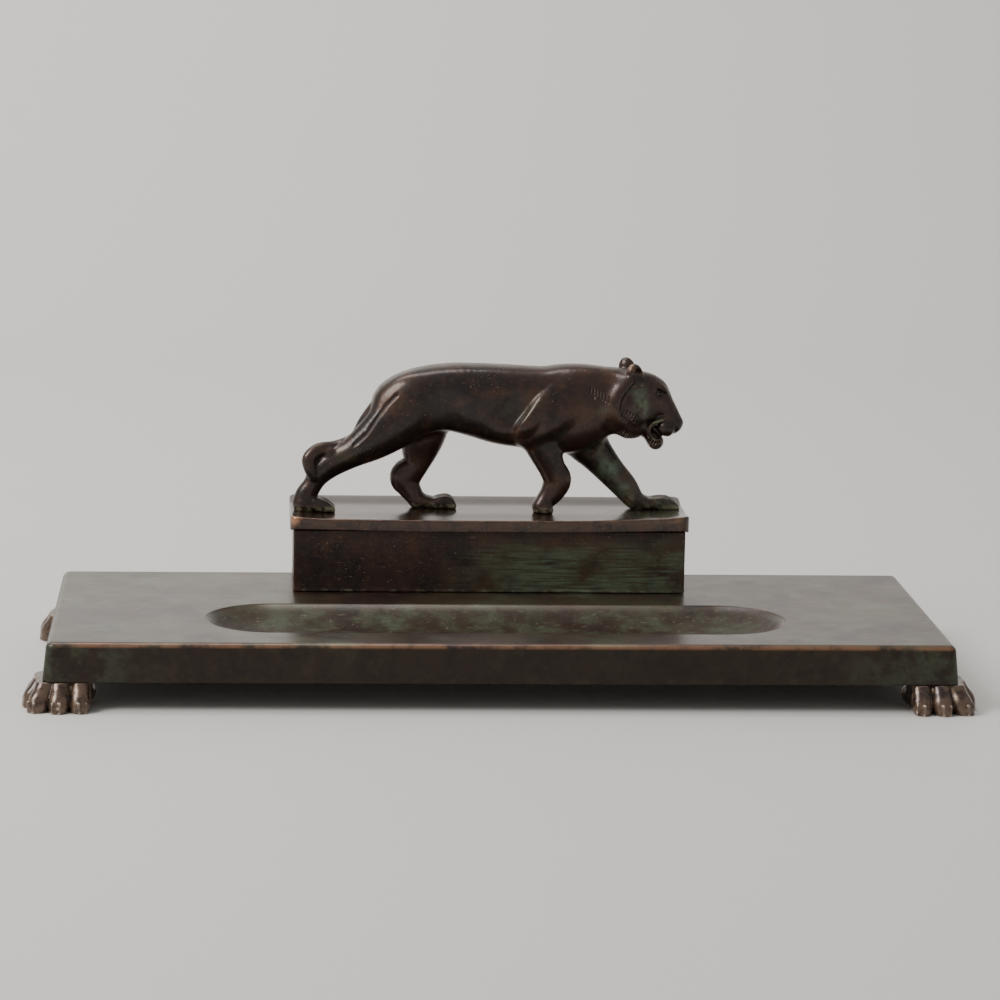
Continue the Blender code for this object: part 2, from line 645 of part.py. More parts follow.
def cat_figure(parent):
    """Walking big cat, one casting, with flat soles and a blind hole in each paw."""
    bm = bmesh.new()
    for stations in CAT:
        limb(bm, stations)
    cat = piece("cat_figure", bm, PATINA, parent)
    fuse_and_thin(cat, FIGURE_VOXEL, FIGURE_KEEP)

    soles = bmesh.new()
    block(soles, (-120, 120), (20, 90), (SOLE - 20, SOLE))
    combine(cat, "DIFFERENCE", "figure_soles", soles)
    holes = bmesh.new()
    for x, y in FIGURE_SCREW_SPOTS:
        figure_screw_hole(holes, x, y)
    combine(cat, "DIFFERENCE", "figure_screw_holes", holes)


def lid_parts(parent):
    lid(parent)
    cat_figure(parent)
    for i, (x, y) in enumerate(FIGURE_SCREW_SPOTS, 1):
        slotted_screw(f"figure_screw_{i}", x, y, FIGURE_SCREW_HEAD_Z, FIGURE_SCREW_TIP,
                      FIGURE_SCREW_HEAD, FIGURE_SCREW_SHANK, parent)


# ---------------------------------------------------------------- hinges


def rivet_spots():
    return [sign * HINGE_X + side * RIVET_OFFSET for sign in (-1, 1) for side in (-1, 1)]


def along_y(x, y, z):
    """Turns a shape made along +Z so that it points to +Y, at the given place."""
    return Matrix.Translation((x, y, z)) @ Matrix.Rotation(math.radians(-90), 4, "X")


def along_x(x, y, z):
    """Turns a shape made along +Z so that it points to +X, at the given place."""
    return Matrix.Translation((x, y, z)) @ Matrix.Rotation(math.radians(90), 4, "Y")


def rivet_hole(bm, x, wall_y, z):
    radius = RIVET_SHANK + GAP
    turned(bm, [(radius, -RIVET_GRIP - GAP), (radius, 6)], 12, along_y(x, wall_y, z))


def rivets(name, wall_y, leaf_thickness, z, parent=None):
    """Four round-headed rivets that hold one leaf of each hinge."""
    face = leaf_thickness + 2 * GAP
    profile = [(RIVET_SHANK, -RIVET_GRIP), (RIVET_SHANK, face), (RIVET_HEAD, face)]
    profile += [(RIVET_HEAD * 0.9, face + 0.4), (RIVET_HEAD * 0.4, face + 0.8)]
    for i, x in enumerate(rivet_spots(), 1):
        bm = bmesh.new()
        turned(bm, profile, 12, along_y(x, wall_y, z))
        piece(f"{name}_{i}", bm, BRASS, parent)


def leaf(name, centre_x, wall_y, thickness, z_limits, knuckles, web_z, rivet_z, parent=None):
    """Flat leaf with rolled knuckles, bored for the pin and for two rivets."""
    bm = bmesh.new()
    half = HINGE_LENGTH / 2
    near, outer = wall_y + GAP, wall_y + GAP + thickness
    block(bm, (centre_x - half, centre_x + half), (near, outer), z_limits)
    made = piece(name, bm, BRASS, parent)

    webs = bmesh.new()
    barrels = bmesh.new()
    bores = bmesh.new()
    for start, end in knuckles:
        left, right = centre_x + start, centre_x + end
        block(webs, (left, right), (outer - WEB_OVERLAP, HINGE_AXIS_Y), web_z)
        profile = [(KNUCKLE_RADIUS, 0), (KNUCKLE_RADIUS, right - left)]
        turned(barrels, profile, 20, along_x(left, HINGE_AXIS_Y, HINGE_AXIS_Z))
    bore = [(PIN_RADIUS + GAP, 0), (PIN_RADIUS + GAP, HINGE_LENGTH + 4)]
    turned(bores, bore, 16, along_x(centre_x - half - 2, HINGE_AXIS_Y, HINGE_AXIS_Z))
    for x in (centre_x - RIVET_OFFSET, centre_x + RIVET_OFFSET):
        turned(bores, [(RIVET_SHANK + GAP, -3), (RIVET_SHANK + GAP, 3)], 12, along_y(x, near, rivet_z))
    combine(made, "UNION", f"{name}_webs", webs)
    combine(made, "UNION", f"{name}_barrels", barrels)
    combine(made, "DIFFERENCE", f"{name}_bores", bores)


def pin(name, centre_x):
    """Hinge pin with a low head at each end."""
    bm = bmesh.new()
    head = PIN_RADIUS + 0.7
    half = [(PIN_RADIUS, -GAP), (head, -GAP), (head, -0.9), (head * 0.6, -1.5)]
    profile = [(radius, z) for radius, z in reversed(half)]
    profile += [(radius, HINGE_LENGTH - z) for radius, z in half]
    turned(bm, profile, 16, along_x(centre_x - HINGE_LENGTH / 2, HINGE_AXIS_Y, HINGE_AXIS_Z))
    piece(name, bm, STEEL)


def hinge(side, sign, parent):
    x = sign * HINGE_X
    half = HINGE_LENGTH / 2
    outer = ((-half, KNUCKLE_LENGTH - half), (half - KNUCKLE_LENGTH, half))
    middle = ((KNUCKLE_LENGTH - half + GAP, half - KNUCKLE_LENGTH - GAP),)
    low_web = (BOX_LEAF_Z[1] - 1, HINGE_AXIS_Z - 0.4)
    high_web = (HINGE_AXIS_Z + 0.4, LID_LEAF_Z[0] + 1)
    leaf(f"hinge_{side}_box_leaf", x, BOX_BACK, BOX_LEAF_THICKNESS, BOX_LEAF_Z, outer, low_web, BOX_RIVET_Z)
    leaf(f"hinge_{side}_lid_leaf", x, LID_BACK, LID_LEAF_THICKNESS, LID_LEAF_Z, middle, high_web,
         LID_RIVET_Z, parent)
    pin(f"hinge_{side}_pin", x)


def hinge_parts(parent):
    for side, sign in (("left", -1), ("right", 1)):
        hinge(side, sign, parent)
    rivets("hinge_box_rivet", BOX_BACK, BOX_LEAF_THICKNESS, BOX_RIVET_Z)
    rivets("hinge_lid_rivet", LID_BACK, LID_LEAF_THICKNESS, LID_RIVET_Z, parent)


def main():
    for obj in list(bpy.data.objects):
        bpy.data.objects.remove(obj)
    pivot = bpy.data.objects.new("lid_pivot", None)
    pivot.location = (0, HINGE_AXIS_Y * MM, HINGE_AXIS_Z * MM)
    bpy.context.scene.collection.objects.link(pivot)
    base_tray()
    foot_parts()
    box_parts()
    lid_parts(pivot)
    hinge_parts(pivot)


main()
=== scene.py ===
"""Looks for the bronze desk inkstand: fine castings, glass wells, patina, soft studio.

Shapes are worked out in millimetres and turned into metres by MM as each mesh is made.
"""

import math

import bmesh
import bpy
import numpy as np
import openvdb
from mathutils import Matrix, Vector


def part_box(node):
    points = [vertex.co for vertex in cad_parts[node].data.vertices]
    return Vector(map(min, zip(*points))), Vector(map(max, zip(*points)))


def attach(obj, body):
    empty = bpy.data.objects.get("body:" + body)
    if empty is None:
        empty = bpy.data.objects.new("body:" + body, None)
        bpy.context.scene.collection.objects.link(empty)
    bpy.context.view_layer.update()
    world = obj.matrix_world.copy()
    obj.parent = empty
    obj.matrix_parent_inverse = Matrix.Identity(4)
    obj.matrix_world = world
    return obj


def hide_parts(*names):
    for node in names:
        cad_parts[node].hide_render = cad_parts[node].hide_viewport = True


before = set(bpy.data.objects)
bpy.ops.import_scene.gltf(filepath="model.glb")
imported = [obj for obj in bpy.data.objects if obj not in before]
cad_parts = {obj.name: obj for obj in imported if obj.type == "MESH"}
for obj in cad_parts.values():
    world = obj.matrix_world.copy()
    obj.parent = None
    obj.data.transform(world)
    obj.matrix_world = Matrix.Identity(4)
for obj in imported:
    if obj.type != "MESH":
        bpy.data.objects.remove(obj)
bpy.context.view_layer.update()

MM = 0.001


def limits(node):
    """Lowest and highest corner of a CAD node, in millimetres."""
    low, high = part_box(node)
    return [c / MM for c in low], [c / MM for c in high]


BASE_LOW, BASE_HIGH = limits("base_tray")
BOX_LOW, BOX_HIGH = limits("well_box")
LID_LOW, LID_HIGH = limits("lid")

# Base casting
BASE_DRAFT = 1.4
BASE_FILLET = 3.0
BASE_CORNER = 5.0
BASE_WALL = 4.0
BASE_EDGE = 0.6
DISH_CENTRE_Y = -24.0
DISH_STRAIGHT = 95.0
DISH_RADIUS = 28.6
DISH_DEPTH = 7.5
DISH_SHARPNESS = 2.6
DISH_LIP = 0.9
FOOT_CENTRE = (177.0, 61.0)
FOOT_BOSS = (7.4, 6.8)
CORNERS = (("front_left", -1, -1), ("front_right", 1, -1), ("back_left", -1, 1), ("back_right", 1, 1))

# Lid
LID_TOP = 61.6
LID_SEAT = 56.3
LID_END_RISE = 0.5
LID_BACK_RISE = 2.0
LID_SKIRT = 1.2
LID_CORNER = 4.0
LID_SAG = 0.7
LID_RIGHT_RISE = 1.0
LID_RECESS = 1.8
LID_MARGIN = 5.7
LID_SIDES = (60, 16)

# Box, wells and fastenings
BOX_WALL = 3.2
BOX_FLOOR = 3.0
WELL_BORE = 14.6
WELL_FLOOR = 4.0
WELL_LIP = 1.6
SHANK_SHARE = 0.54
RIVET_SHANK = 1.0
PIN_RADIUS = 0.9
PIN_HEAD = 1.2
RIVET_HOLE_RADIUS = 1.25
HOLE_GAP = 0.25
SCREW_RIM = 0.45
WEAR = 0.22

# Figure: centre planes of the body and of the near and far legs
BODY_Y = 51.0
NEAR_Y = 45.5
FAR_Y = 56.5
SOLE = LID_TOP + 0.1

# Camera, as the object is seen: close to its front, a little above
CAMERA_PLACE = (-107.24, -1539.93, 358.47)
CAMERA_YAW = 4.0515
CAMERA_PITCH = 10.3913
CAMERA_ROLL = 1.1162
CAMERA_LENS = 131.44
SENSOR = 36.0

FIGURE_VOXEL = 0.72
PAW_VOXEL = 0.42


# ---------------- mesh helpers


def rotation(degrees, axis):
    return Matrix.Rotation(math.radians(degrees), 4, axis)


def smooth_step(low, high, value):
    share = np.clip((value - low) / (high - low), 0.0, 1.0)
    return share * share * (3 - 2 * share)


def rounded_rectangle(half_x, half_y, radius, z, centre=(0.0, 0.0), steps=8, sides=(1, 1)):
    """Counter-clockwise ring of points, seen from above; sides splits the edges along X and along Y."""
    rounds = []
    for corner, (sx, sy) in enumerate(((1, 1), (-1, 1), (-1, -1), (1, -1))):
        for step in range(steps + 1):
            angle = math.radians(90 * corner + 90 * step / steps)
            x = centre[0] + sx * (half_x - radius) + radius * math.cos(angle)
            y = centre[1] + sy * (half_y - radius) + radius * math.sin(angle)
            rounds.append(Vector((x, y, z)))
    points = []
    for i, point in enumerate(rounds):
        points.append(point)
        if i % (steps + 1) == steps:
            after = rounds[(i + 1) % len(rounds)]
            parts = sides[(i // (steps + 1)) % 2]
            points += [point.lerp(after, k / parts) for k in range(1, parts)]
    return points


def stadium(straight, radius, z, steps=40):
    points = []
    for side in (1, -1):
        for step in range(steps + 1):
            angle = math.radians(-90 + 180 * step / steps)
            x = side * (straight + radius * math.cos(angle))
            points.append(Vector((x, DISH_CENTRE_Y + side * radius * math.sin(angle), z)))
    return points


def circle(radius, z, segments):
    turn = 2 * math.pi / segments
    return [Vector((radius * math.cos(turn * i), radius * math.sin(turn * i), z)) for i in range(segments)]


def loft(bm, rings, cap=True):
    """Skins a stack of rings that have the same number of points."""
    rows = [[bm.verts.new(point) for point in ring] for ring in rings]
    count = len(rows[0])
    for low, high in zip(rows, rows[1:]):
        for i in range(count):
            j = (i + 1) % count
            bm.faces.new((low[i], low[j], high[j], high[i]))
    if cap:
        bm.faces.new(list(reversed(rows[0])))
        bm.faces.new(rows[-1])
    return [vert for row in rows for vert in row]


def block(bm, x, y, z):
    corners = [(x[0], y[0]), (x[1], y[0]), (x[1], y[1]), (x[0], y[1])]
    loft(bm, [[Vector((cx, cy, level)) for cx, cy in corners] for level in z])


def turned(bm, profile, segments, matrix):
    verts = loft(bm, [circle(radius, z, segments) for radius, z in profile])
    bmesh.ops.transform(bm, matrix=matrix, verts=verts)


def to_object(name, bm):
    bmesh.ops.recalc_face_normals(bm, faces=bm.faces)
    bmesh.ops.scale(bm, vec=(MM, MM, MM), verts=bm.verts)
    mesh = bpy.data.meshes.new(name)
    bm.to_mesh(mesh)
    bm.free()
    obj = bpy.data.objects.new(name, mesh)
    bpy.context.scene.collection.objects.link(obj)
    return obj


def lofted(name, rings):
    bm = bmesh.new()
    loft(bm, rings)
    return to_object(name, bm)


def lathe(name, profile, matrix):
    """A turned piece, from its profile of radius and height."""
    bm = bmesh.new()
    turned(bm, profile, 32, matrix)
    return to_object(name, bm)


def cut(obj, bm, operation="DIFFERENCE"):
    """Applies a Boolean with a passing shape and drops that shape."""
    tool = to_object("tool", bm)
    step = obj.modifiers.new("cut", "BOOLEAN")
    step.operation = operation
    step.solver = "EXACT"
    step.object = tool
    bpy.context.view_layer.objects.active = obj
    bpy.ops.object.modifier_apply(modifier=step.name)
    bpy.data.objects.remove(tool)


def finish_normals(obj, angle=50):
    obj.data.shade_smooth()
    obj.data.set_sharp_from_angle(angle=math.radians(angle))
    normals = obj.modifiers.new("flat_faces", "WEIGHTED_NORMAL")
    normals.keep_sharp = True


def finish_piece(obj, body, node, look, sharp=None):
    """Look, body and node of a piece; edges past the sharp angle, if one is given, stay crisp."""
    if sharp:
        finish_normals(obj, sharp)
    obj.data.materials.clear()
    obj.data.materials.append(look)
    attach(obj, body)
    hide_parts(node)


# ---------------- distance fields


def catmull(stations, steps):
    """Smooth points through the stations, end points kept."""
    stations = np.array(stations, float)
    padded = np.vstack([stations[:1], stations, stations[-1:]])
    points = []
    for i in range(len(stations) - 1):
        a, b, c, d = padded[i : i + 4]
        for step in range(steps):
            t = step / steps
            square = (2 * a - 5 * b + 4 * c - d) * t**2
            cube = (3 * b - a - 3 * c + d) * t**3
            points.append(0.5 * (2 * b + (c - a) * t + square + cube))
    points.append(stations[-1])
    return np.array(points)


class Limb:
    """Tapered limb through stations (x, y, z, radius in side view, half width across)."""

    def __init__(self, stations, power=2.2, steps=5):
        self.path = catmull(stations, steps)
        self.power = power
        reach = self.path[:, 3:5].max(axis=1)[:, None]
        self.low = (self.path[:, :3] - reach).min(axis=0)
        self.high = (self.path[:, :3] + reach).max(axis=0)

    def distance(self, x, y, z):
        best = None
        for start, end in zip(self.path, self.path[1:]):
            step = end[:3] - start[:3]
            length = max(float(step @ step), 1e-6)
            dx, dy, dz = x - start[0], y - start[1], z - start[2]
            t = np.clip((dx * step[0] + dy * step[1] + dz * step[2]) / length, 0, 1)
            high = start[3] + t * (end[3] - start[3])
            wide = start[4] + t * (end[4] - start[4])
            side = np.hypot(dx - t * step[0], dz - t * step[2]) / high
            across = np.abs(dy - t * step[1]) / wide
            norm = (side**self.power + across**self.power) ** (1 / self.power)
            found = (norm - 1) * np.minimum(high, wide)
            best = found if best is None else np.minimum(best, found)
        return best


class Blob:
    """Ellipsoid, turned by angles about Y (nose down) and Z."""

    def __init__(self, centre, radii, nose_down=0.0, swing=0.0):
        self.centre = centre
        self.radii = radii
        self.inverse = np.array((rotation(swing, "Z") @ rotation(nose_down, "Y")).inverted())
        reach = max(radii)
        self.low = np.array(centre, float) - reach
        self.high = np.array(centre, float) + reach

    def distance(self, x, y, z):
        dx, dy, dz = x - self.centre[0], y - self.centre[1], z - self.centre[2]
        rows = zip(self.inverse, self.radii)
        u, v, w = ((row[0] * dx + row[1] * dy + row[2] * dz) / radius for row, radius in rows)
        norm = np.sqrt(u * u + v * v + w * w)
        return (norm - 1) * min(self.radii)


def join(a, b, k):
    """Union with a fillet of about k."""
    h = np.clip(k - np.abs(a - b), 0, None) / k
    return np.minimum(a, b) - h * h * k / 4


def carve(a, b, k):
    """Takes b out of a, with an edge eased by k."""
    return -join(-a, b, k)


class Sculpture:
    """A list of shapes that are added to or carved out of each other in order."""

    FAR = 6.0

    def __init__(self, floor, ceiling=1000.0):
        self.steps = []
        self.floor = floor
        self.ceiling = ceiling

    def add(self, shape, k=2.0):
        self.steps.append((join, shape, k))

    def take(self, shape, k=0.6):
        self.steps.append((carve, shape, k))

    def value(self, points):
        """Distance at scattered points."""
        total = np.full(len(points), self.FAR)
        for operation, shape, k in self.steps:
            margin = k + 2.0
            near = ((points >= shape.low - margin) & (points <= shape.high + margin)).all(axis=1)
            if near.any():
                x, y, z = points[near].T
                total[near] = operation(total[near], shape.distance(x, y, z), k)
        return np.maximum(total, np.maximum(self.floor - points[:, 2], points[:, 2] - self.ceiling))

    def grid(self, voxel):
        low = np.min([s.low for o, s, k in self.steps if o is join], axis=0) - 4 * voxel
        high = np.max([s.high for o, s, k in self.steps if o is join], axis=0) + 4 * voxel
        axes = [np.arange(a, b, voxel) for a, b in zip(low, high)]
        total = np.full([len(a) for a in axes], self.FAR, dtype=np.float32)
        for operation, shape, k in self.steps:
            margin = k + 2.0
            spans = tuple(
                slice(np.searchsorted(axis, a - margin), np.searchsorted(axis, b + margin))
                for axis, a, b in zip(axes, shape.low, shape.high)
            )
            if min(s.stop - s.start for s in spans) < 1:
                continue
            x = axes[0][spans[0]][:, None, None]
            y = axes[1][spans[1]][None, :, None]
            z = axes[2][spans[2]][None, None, :]
            total[spans] = operation(total[spans], shape.distance(x, y, z), k)
        level = axes[2][None, None, :].astype(np.float32)
        total = np.maximum(total, np.maximum(self.floor - level, level - self.ceiling))
        return low, total

    def surface_y(self, x, z, side):
        """Where the surface lies beside the middle plane at (x, z); side is -1 for near, +1 for far."""
        ys = BODY_Y + side * np.linspace(0, 20, 161)
        values = self.value(np.column_stack([np.full(161, x), ys, np.full(161, z)]))
        inside = np.nonzero(values < 0)[0]
        return ys[inside[-1]] if len(inside) else BODY_Y

    def mesh(self, name, voxel, details=(), rounds=3):
        """Meshes the shape, splits faces where detail is needed, and moves the skin onto the true surface."""
        low, values = self.grid(voxel)
        field = openvdb.FloatGrid(float(self.FAR))
        field.copyFromArray(values)
        verts, quads = field.convertToQuads(0.0)
        verts = verts * voxel + low
        mesh = bpy.data.meshes.new(name)
        mesh.from_pydata(verts.tolist(), [], quads[:, ::-1].tolist())
        bm = bmesh.new()
        bm.from_mesh(mesh)
        bpy.data.meshes.remove(mesh)
        for detail in details:
            centres = np.array([face.calc_center_median()[:] for face in bm.faces])
            wanted = detail(centres)
            edges = {edge for face, want in zip(bm.faces, wanted) if want for edge in face.edges}
            if edges:
                bmesh.ops.subdivide_edges(bm, edges=list(edges), cuts=1, use_grid_fill=True)
        places = np.array([vert.co[:] for vert in bm.verts])
        for _ in range(rounds):
            places = self.settle(places, voxel)
        for vert, place in zip(bm.verts, places):
            vert.co = place
        return to_object(name, bm)

    def settle(self, points, voxel):
        """One Newton step towards the zero surface."""
        h = 0.05
        here = self.value(points)
        slope = np.column_stack([
            self.value(points + np.eye(3)[i] * h) - self.value(points - np.eye(3)[i] * h) for i in range(3)
        ]) / (2 * h)
        size = np.clip((slope**2).sum(axis=1), 0.15, None)
        move = -(here / size)[:, None] * slope
        longest = np.linalg.norm(move, axis=1)[:, None]
        return points + move * np.minimum(1, voxel / np.maximum(longest, 1e-9))


# ---------------- the walking cat


def in_plane(y, *stations):
    """Stations of a limb whose middle stays in one upright plane, given as x, z and two radii."""
    return tuple((x, y, z, high, wide) for x, z, high, wide in stations)


TORSO = in_plane(
    BODY_Y,
    (-45, 106.8, 7.2, 6.5), (-40.4, 109.1, 11.3, 10.2), (-31, 110.8, 14, 12.2),
    (-18, 112.2, 14.8, 12.8), (-5, 110.8, 16.3, 12.8), (5, 109.2, 17.6, 12.8), (15, 108.2, 18.1, 12.6),
    (25, 107.5, 18.6, 12.4), (35, 107.6, 19.7, 12), (45, 110.2, 16.6, 11.2), (55, 112.4, 12.8, 10.2),
)
SKULL = in_plane(
    BODY_Y,
    (57, 112, 12.6, 10), (66.2, 112.8, 11.6, 9.8), (70.9, 113.6, 9, 8.2),
)
MUZZLE = in_plane(
    BODY_Y,
    (71.2, 110.6, 8.1, 7.2), (74.6, 109.7, 6.9, 6.4), (78.2, 105.2, 5.9, 5.2), (80.9, 101.5, 5.1, 4.6),
)
JAW = in_plane(
    BODY_Y,
    (62, 101.5, 6.4, 7.2), (69, 99.7, 3.8, 5.2), (74.1, 92.9, 3.6, 4.2),
)
TONGUE = in_plane(BODY_Y, (69, 99.5, 3, 2.6), (73.6, 97.4, 2.4, 2.6), (76.2, 96.6, 1.4, 2.2))
NEAR_HIND_LEG = (
    (-33, 45.4, 109.5, 13.5, 8.4), (-41, 45, 102.4, 12, 8.2), (-50.8, 44.8, 94.3, 9.3, 7.4),
    (-60.6, 45, 87.9, 6.7, 6), (-69.2, 45.2, 83.3, 6.1, 5), (-74.8, NEAR_Y, 78.6, 5.3, 4.6),
    (-77.5, NEAR_Y, 74, 4.3, 4.2), (-80.5, NEAR_Y, 69, 4.8, 4.4), (-81.8, NEAR_Y, 65, 5.0, 4.8),
)
TAIL = (
    (-40.6, 50.6, 114.4, 4.2, 4.2), (-47.6, 50, 109.3, 4.0, 3.6), (-54.3, 49.2, 101.2, 3.5, 3.4),
    (-59.2, 48.5, 93.5, 3.1, 3), (-67.4, 46.6, 90.1, 3, 2.9), (-75.2, 44.2, 89, 3.2, 2.9),
    (-79.5, 42.8, 85.4, 3.1, 2.8), (-79.1, 42, 81, 2.7, 2.6), (-77.8, 41.8, 77.4, 1.9, 1.9),
)
FAR_HIND_LEG = (
    (-27.5, 56, 105, 12, 8.2), (-28.6, FAR_Y, 95, 9.8, 7.8), (-30.1, FAR_Y, 88.6, 8.3, 6.2),
    (-31.6, FAR_Y, 81.4, 5.8, 5), (-36.4, FAR_Y, 75.6, 7.0, 4.4), (-35.4, FAR_Y, 71.4, 5.4, 4.2),
    (-32.8, FAR_Y, 67.2, 4.3, 4.4), (-31.2, FAR_Y, 65, 4.1, 4.8),
)
NEAR_UPPER_ARM = (
    (35, 46.4, 112.5, 11, 7.4), (29.5, 44.8, 108.2, 10, 7.8), (22.6, 44, 102.6, 8.8, 8),
    (16.9, 44.2, 98.2, 7.2, 7.2),
)
ELBOW_RIDGE = (
    (27, 42, 116.6, 3.2, 3.2), (22.8, 39.8, 111.6, 4.2, 3.7), (18.6, 38.9, 106.2, 4.7, 3.9),
    (15, 38.9, 101.6, 4.6, 3.9), (12.8, 40.4, 98.8, 3.2, 3.4),
)
TAIL_GROOVE = ((-41.5, 114.6), (-46, 110), (-50.5, 103.6), (-55, 97), (-60, 92.2))
NEAR_FRONT_LEG = (
    (19, 44.4, 98.5, 7.6, 6.8), (21.9, 44.6, 94, 7.6, 6.6), (24.7, 45, 88.4, 7, 6.1),
    (27.8, 45.3, 81.6, 6.0, 5.2), (30.2, NEAR_Y, 76.4, 6.3, 4.8), (28.4, NEAR_Y, 71.2, 5.3, 4.5),
    (25.4, NEAR_Y, 67.2, 4.3, 4.5), (23.5, NEAR_Y, 64, 4.2, 4.8),
)
FAR_FRONT_LEG = (
    (36, 56, 105, 9.2, 8), (41.2, FAR_Y, 94.8, 10.0, 7.2), (48.1, FAR_Y, 86.4, 7.9, 6),
    (54.9, FAR_Y, 78.6, 6.5, 5), (61.1, FAR_Y, 71.9, 5.8, 4.6), (65.1, FAR_Y, 66.6, 4.7, 4.7),
)
# Each paw of the cat: its middle plane, then its instep and its toes as lines of x, z, radius
PAWS = (
    (NEAR_Y, ((-80.8, 64.4, 4.0), (-75.4, 64.6, 3.0)),
     ((-76.6, 65.4, 2.6), (-73, 64.3, 2.7), (-69.2, 62.9, 1.4))),
    (FAR_Y, ((-31, 65, 3.2), (-22.5, 63.6, 2.4)),
     ((-23.5, 63.9, 2.3), (-18.2, 64.4, 2.8), (-15.2, 62.9, 1.5))),
    (FAR_Y, ((65.5, 65.6, 3.6), (73.5, 64.0, 2.6)),
     ((73.0, 64.4, 2.4), (80.0, 64.3, 2.8), (84.4, 62.8, 1.5))),
    (NEAR_Y, ((23.2, 65, 3.4), (24.4, 64, 3.0)),
     ((23.6, 65.6, 2.2), (25.6, 64.2, 2.6), (27, 62.8, 1.5))),
)
TOE_SPREAD = (-3.9, -1.35, 1.35, 3.9)

# Head: the ruff behind the cheek, as x, y, z, radius, width on the near side
RUFF = (
    (61.0, 42.0, 120.5, 2.0, 1.6), (57.6, 40.5, 116.4, 2.3, 1.9), (55.2, 39.7, 111.6, 2.4, 1.9),
    (55.2, 40.3, 106.8, 2.4, 1.9), (57.2, 42.6, 102, 2.5, 2), (60.4, 45.6, 98.6, 2.4, 2.2),
    (64.2, 48.4, 98, 2, 2),
)
RUFF_STEP = (
    (63.4, 40.6, 119.0, 0.9, 0.9), (60.6, 38.8, 115.0, 1.4, 1.4), (58.8, 38.0, 110.8, 1.5, 1.5),
    (59.0, 38.6, 106.6, 1.0, 1.0),
)
LIP = (
    (76.2, 45.9, 103.3, 0.7, 0.8), (73, 45.8, 102, 0.9, 0.9), (70.7, 46, 99.6, 1.0, 1.0),
    (71, 46.4, 96.6, 1.0, 1.0), (73.4, 46.8, 94.4, 0.9, 0.9), (76.4, 47.4, 94.2, 0.8, 0.8),
)
SMILE = ((77.6, 105.9), (75.4, 105.7), (73.2, 104.6), (71.4, 103.0), (70.2, 101.2))
MOUTH = ((73, 44, 99, 1.7, 4.6), (76.2, 44, 96.3, 1.1, 4.2), (81, 44, 93.6, 0.9, 4))


# Rows of engraved strokes: start and end as x, z, the lean of each stroke, and how many
HATCHES = (
    ((43.6, 117.3), (51.6, 113.2), (0.3, 2.9), 7), ((56.8, 108.2), (65.2, 103.6), (0.9, 2.6), 7),
    ((57.0, 98.6), (62.6, 96.4), (0.7, 2.2), 6), ((71.2, 93.8), (74.4, 92.2), (0.7, 1.8), 4),
)


def mirrored(stations):
    """The same stations on the far side of the head."""
    return tuple((x, 2 * BODY_Y - y, z, high, wide) for x, y, z, high, wide in stations)


def add_paw(cat, centre, instep, toe):
    cat.add(Limb([(x, centre, z, r, 4.9) for x, z, r in instep], power=2.4), 1.2)
    for offset in TOE_SPREAD:
        spread = [0.85, 1.0, 1.0]
        stations = [(x, centre + offset * s, z, r, min(r, 1.6)) for (x, z, r), s in zip(toe, spread)]
        cat.add(Limb(stations), 0.2)


def both_sides(stations):
    return [Limb(stations), Limb(mirrored(stations))]


def add_head(cat):
    for stations, power, k in ((SKULL, 2.2, 3.0), (MUZZLE, 2.4, 2.0), (JAW, 2.2, 1.6)):
        cat.add(Limb(stations, power), k)
    for ridge in both_sides(RUFF):
        cat.add(ridge, 5.0)
    for step in both_sides(RUFF_STEP):
        cat.take(step, 3.2)
    for side in (-1, 1):
        ear_y = BODY_Y + side * 7.6
        ear_x, ear_z = (63.4, 123.8) if side < 0 else (61.4, 124.5)
        cat.add(Blob((ear_x, ear_y, ear_z), (3.8, 2.9, 5.0), nose_down=-14, swing=side * -24), 0.9)
        cat.take(Blob((ear_x + 2.2, ear_y + side * 2.0, ear_z - 0.8), (3.3, 2.9, 4.2), nose_down=-10), 0.5)
        cat.add(Blob((66, BODY_Y + side * 7.6, 108.5), (5, 3.4, 6.5)), 3.0)
        cat.take(Blob((72.6, BODY_Y + side * 10.2, 108.8), (5.0, 3.0, 7.4), nose_down=15), 4.0)
        cat.take(Blob((75.6, BODY_Y + side * 7.6, 115.4), (2.7, 2.1, 1.8), nose_down=20), 1.8)
        cat.add(Blob((75.0, BODY_Y + side * 5.5, 115.0), (1.4, 1.3, 0.8), nose_down=22), 0.4)
        cat.add(Blob((75.8, BODY_Y + side * 5.0, 117.7), (2.6, 1.5, 1.0), nose_down=38), 1.4)
        cat.add(Blob((78.2, BODY_Y + side * 3.2, 99.4), (3.9, 3.0, 3.9)), 0.7)
        cat.take(Blob((85.4, BODY_Y + side * 1.5, 100.6), (1.1, 0.6, 0.8)), 0.3)
    cat.add(Blob((84.1, BODY_Y, 101.6), (1.9, 2.3, 1.7)), 1.0)
    for lip in both_sides(LIP):
        cat.add(lip, 0.6)
    cat.add(Limb(TONGUE), 0.6)
    for mouth in both_sides(MOUTH):
        cat.take(mouth, 0.4)
    for side in (-1, 1):
        groove(cat, SMILE, 0.24, side)


def groove(cat, line, size, side=-1, lift=0.0):
    """A groove on the skin, along a line of (x, z) points in side view; lift makes it shallower."""
    stations = [(x, cat.surface_y(x, z, side) + side * lift, z, size, size) for x, z in line]
    cat.take(Limb(stations, steps=3), 0.25)


def engrave(cat, start, end, slant, count, side=-1):
    """A row of short strokes from start to end in side view, each leaning by slant."""
    for i in range(count):
        share = i / (count - 1)
        x = start[0] + (end[0] - start[0]) * share
        z = start[1] + (end[1] - start[1]) * share
        ends = [(x - slant[0] / 2, z - slant[1] / 2), (x, z), (x + slant[0] / 2, z + slant[1] / 2)]
        groove(cat, ends, 0.30, side, 0.08)


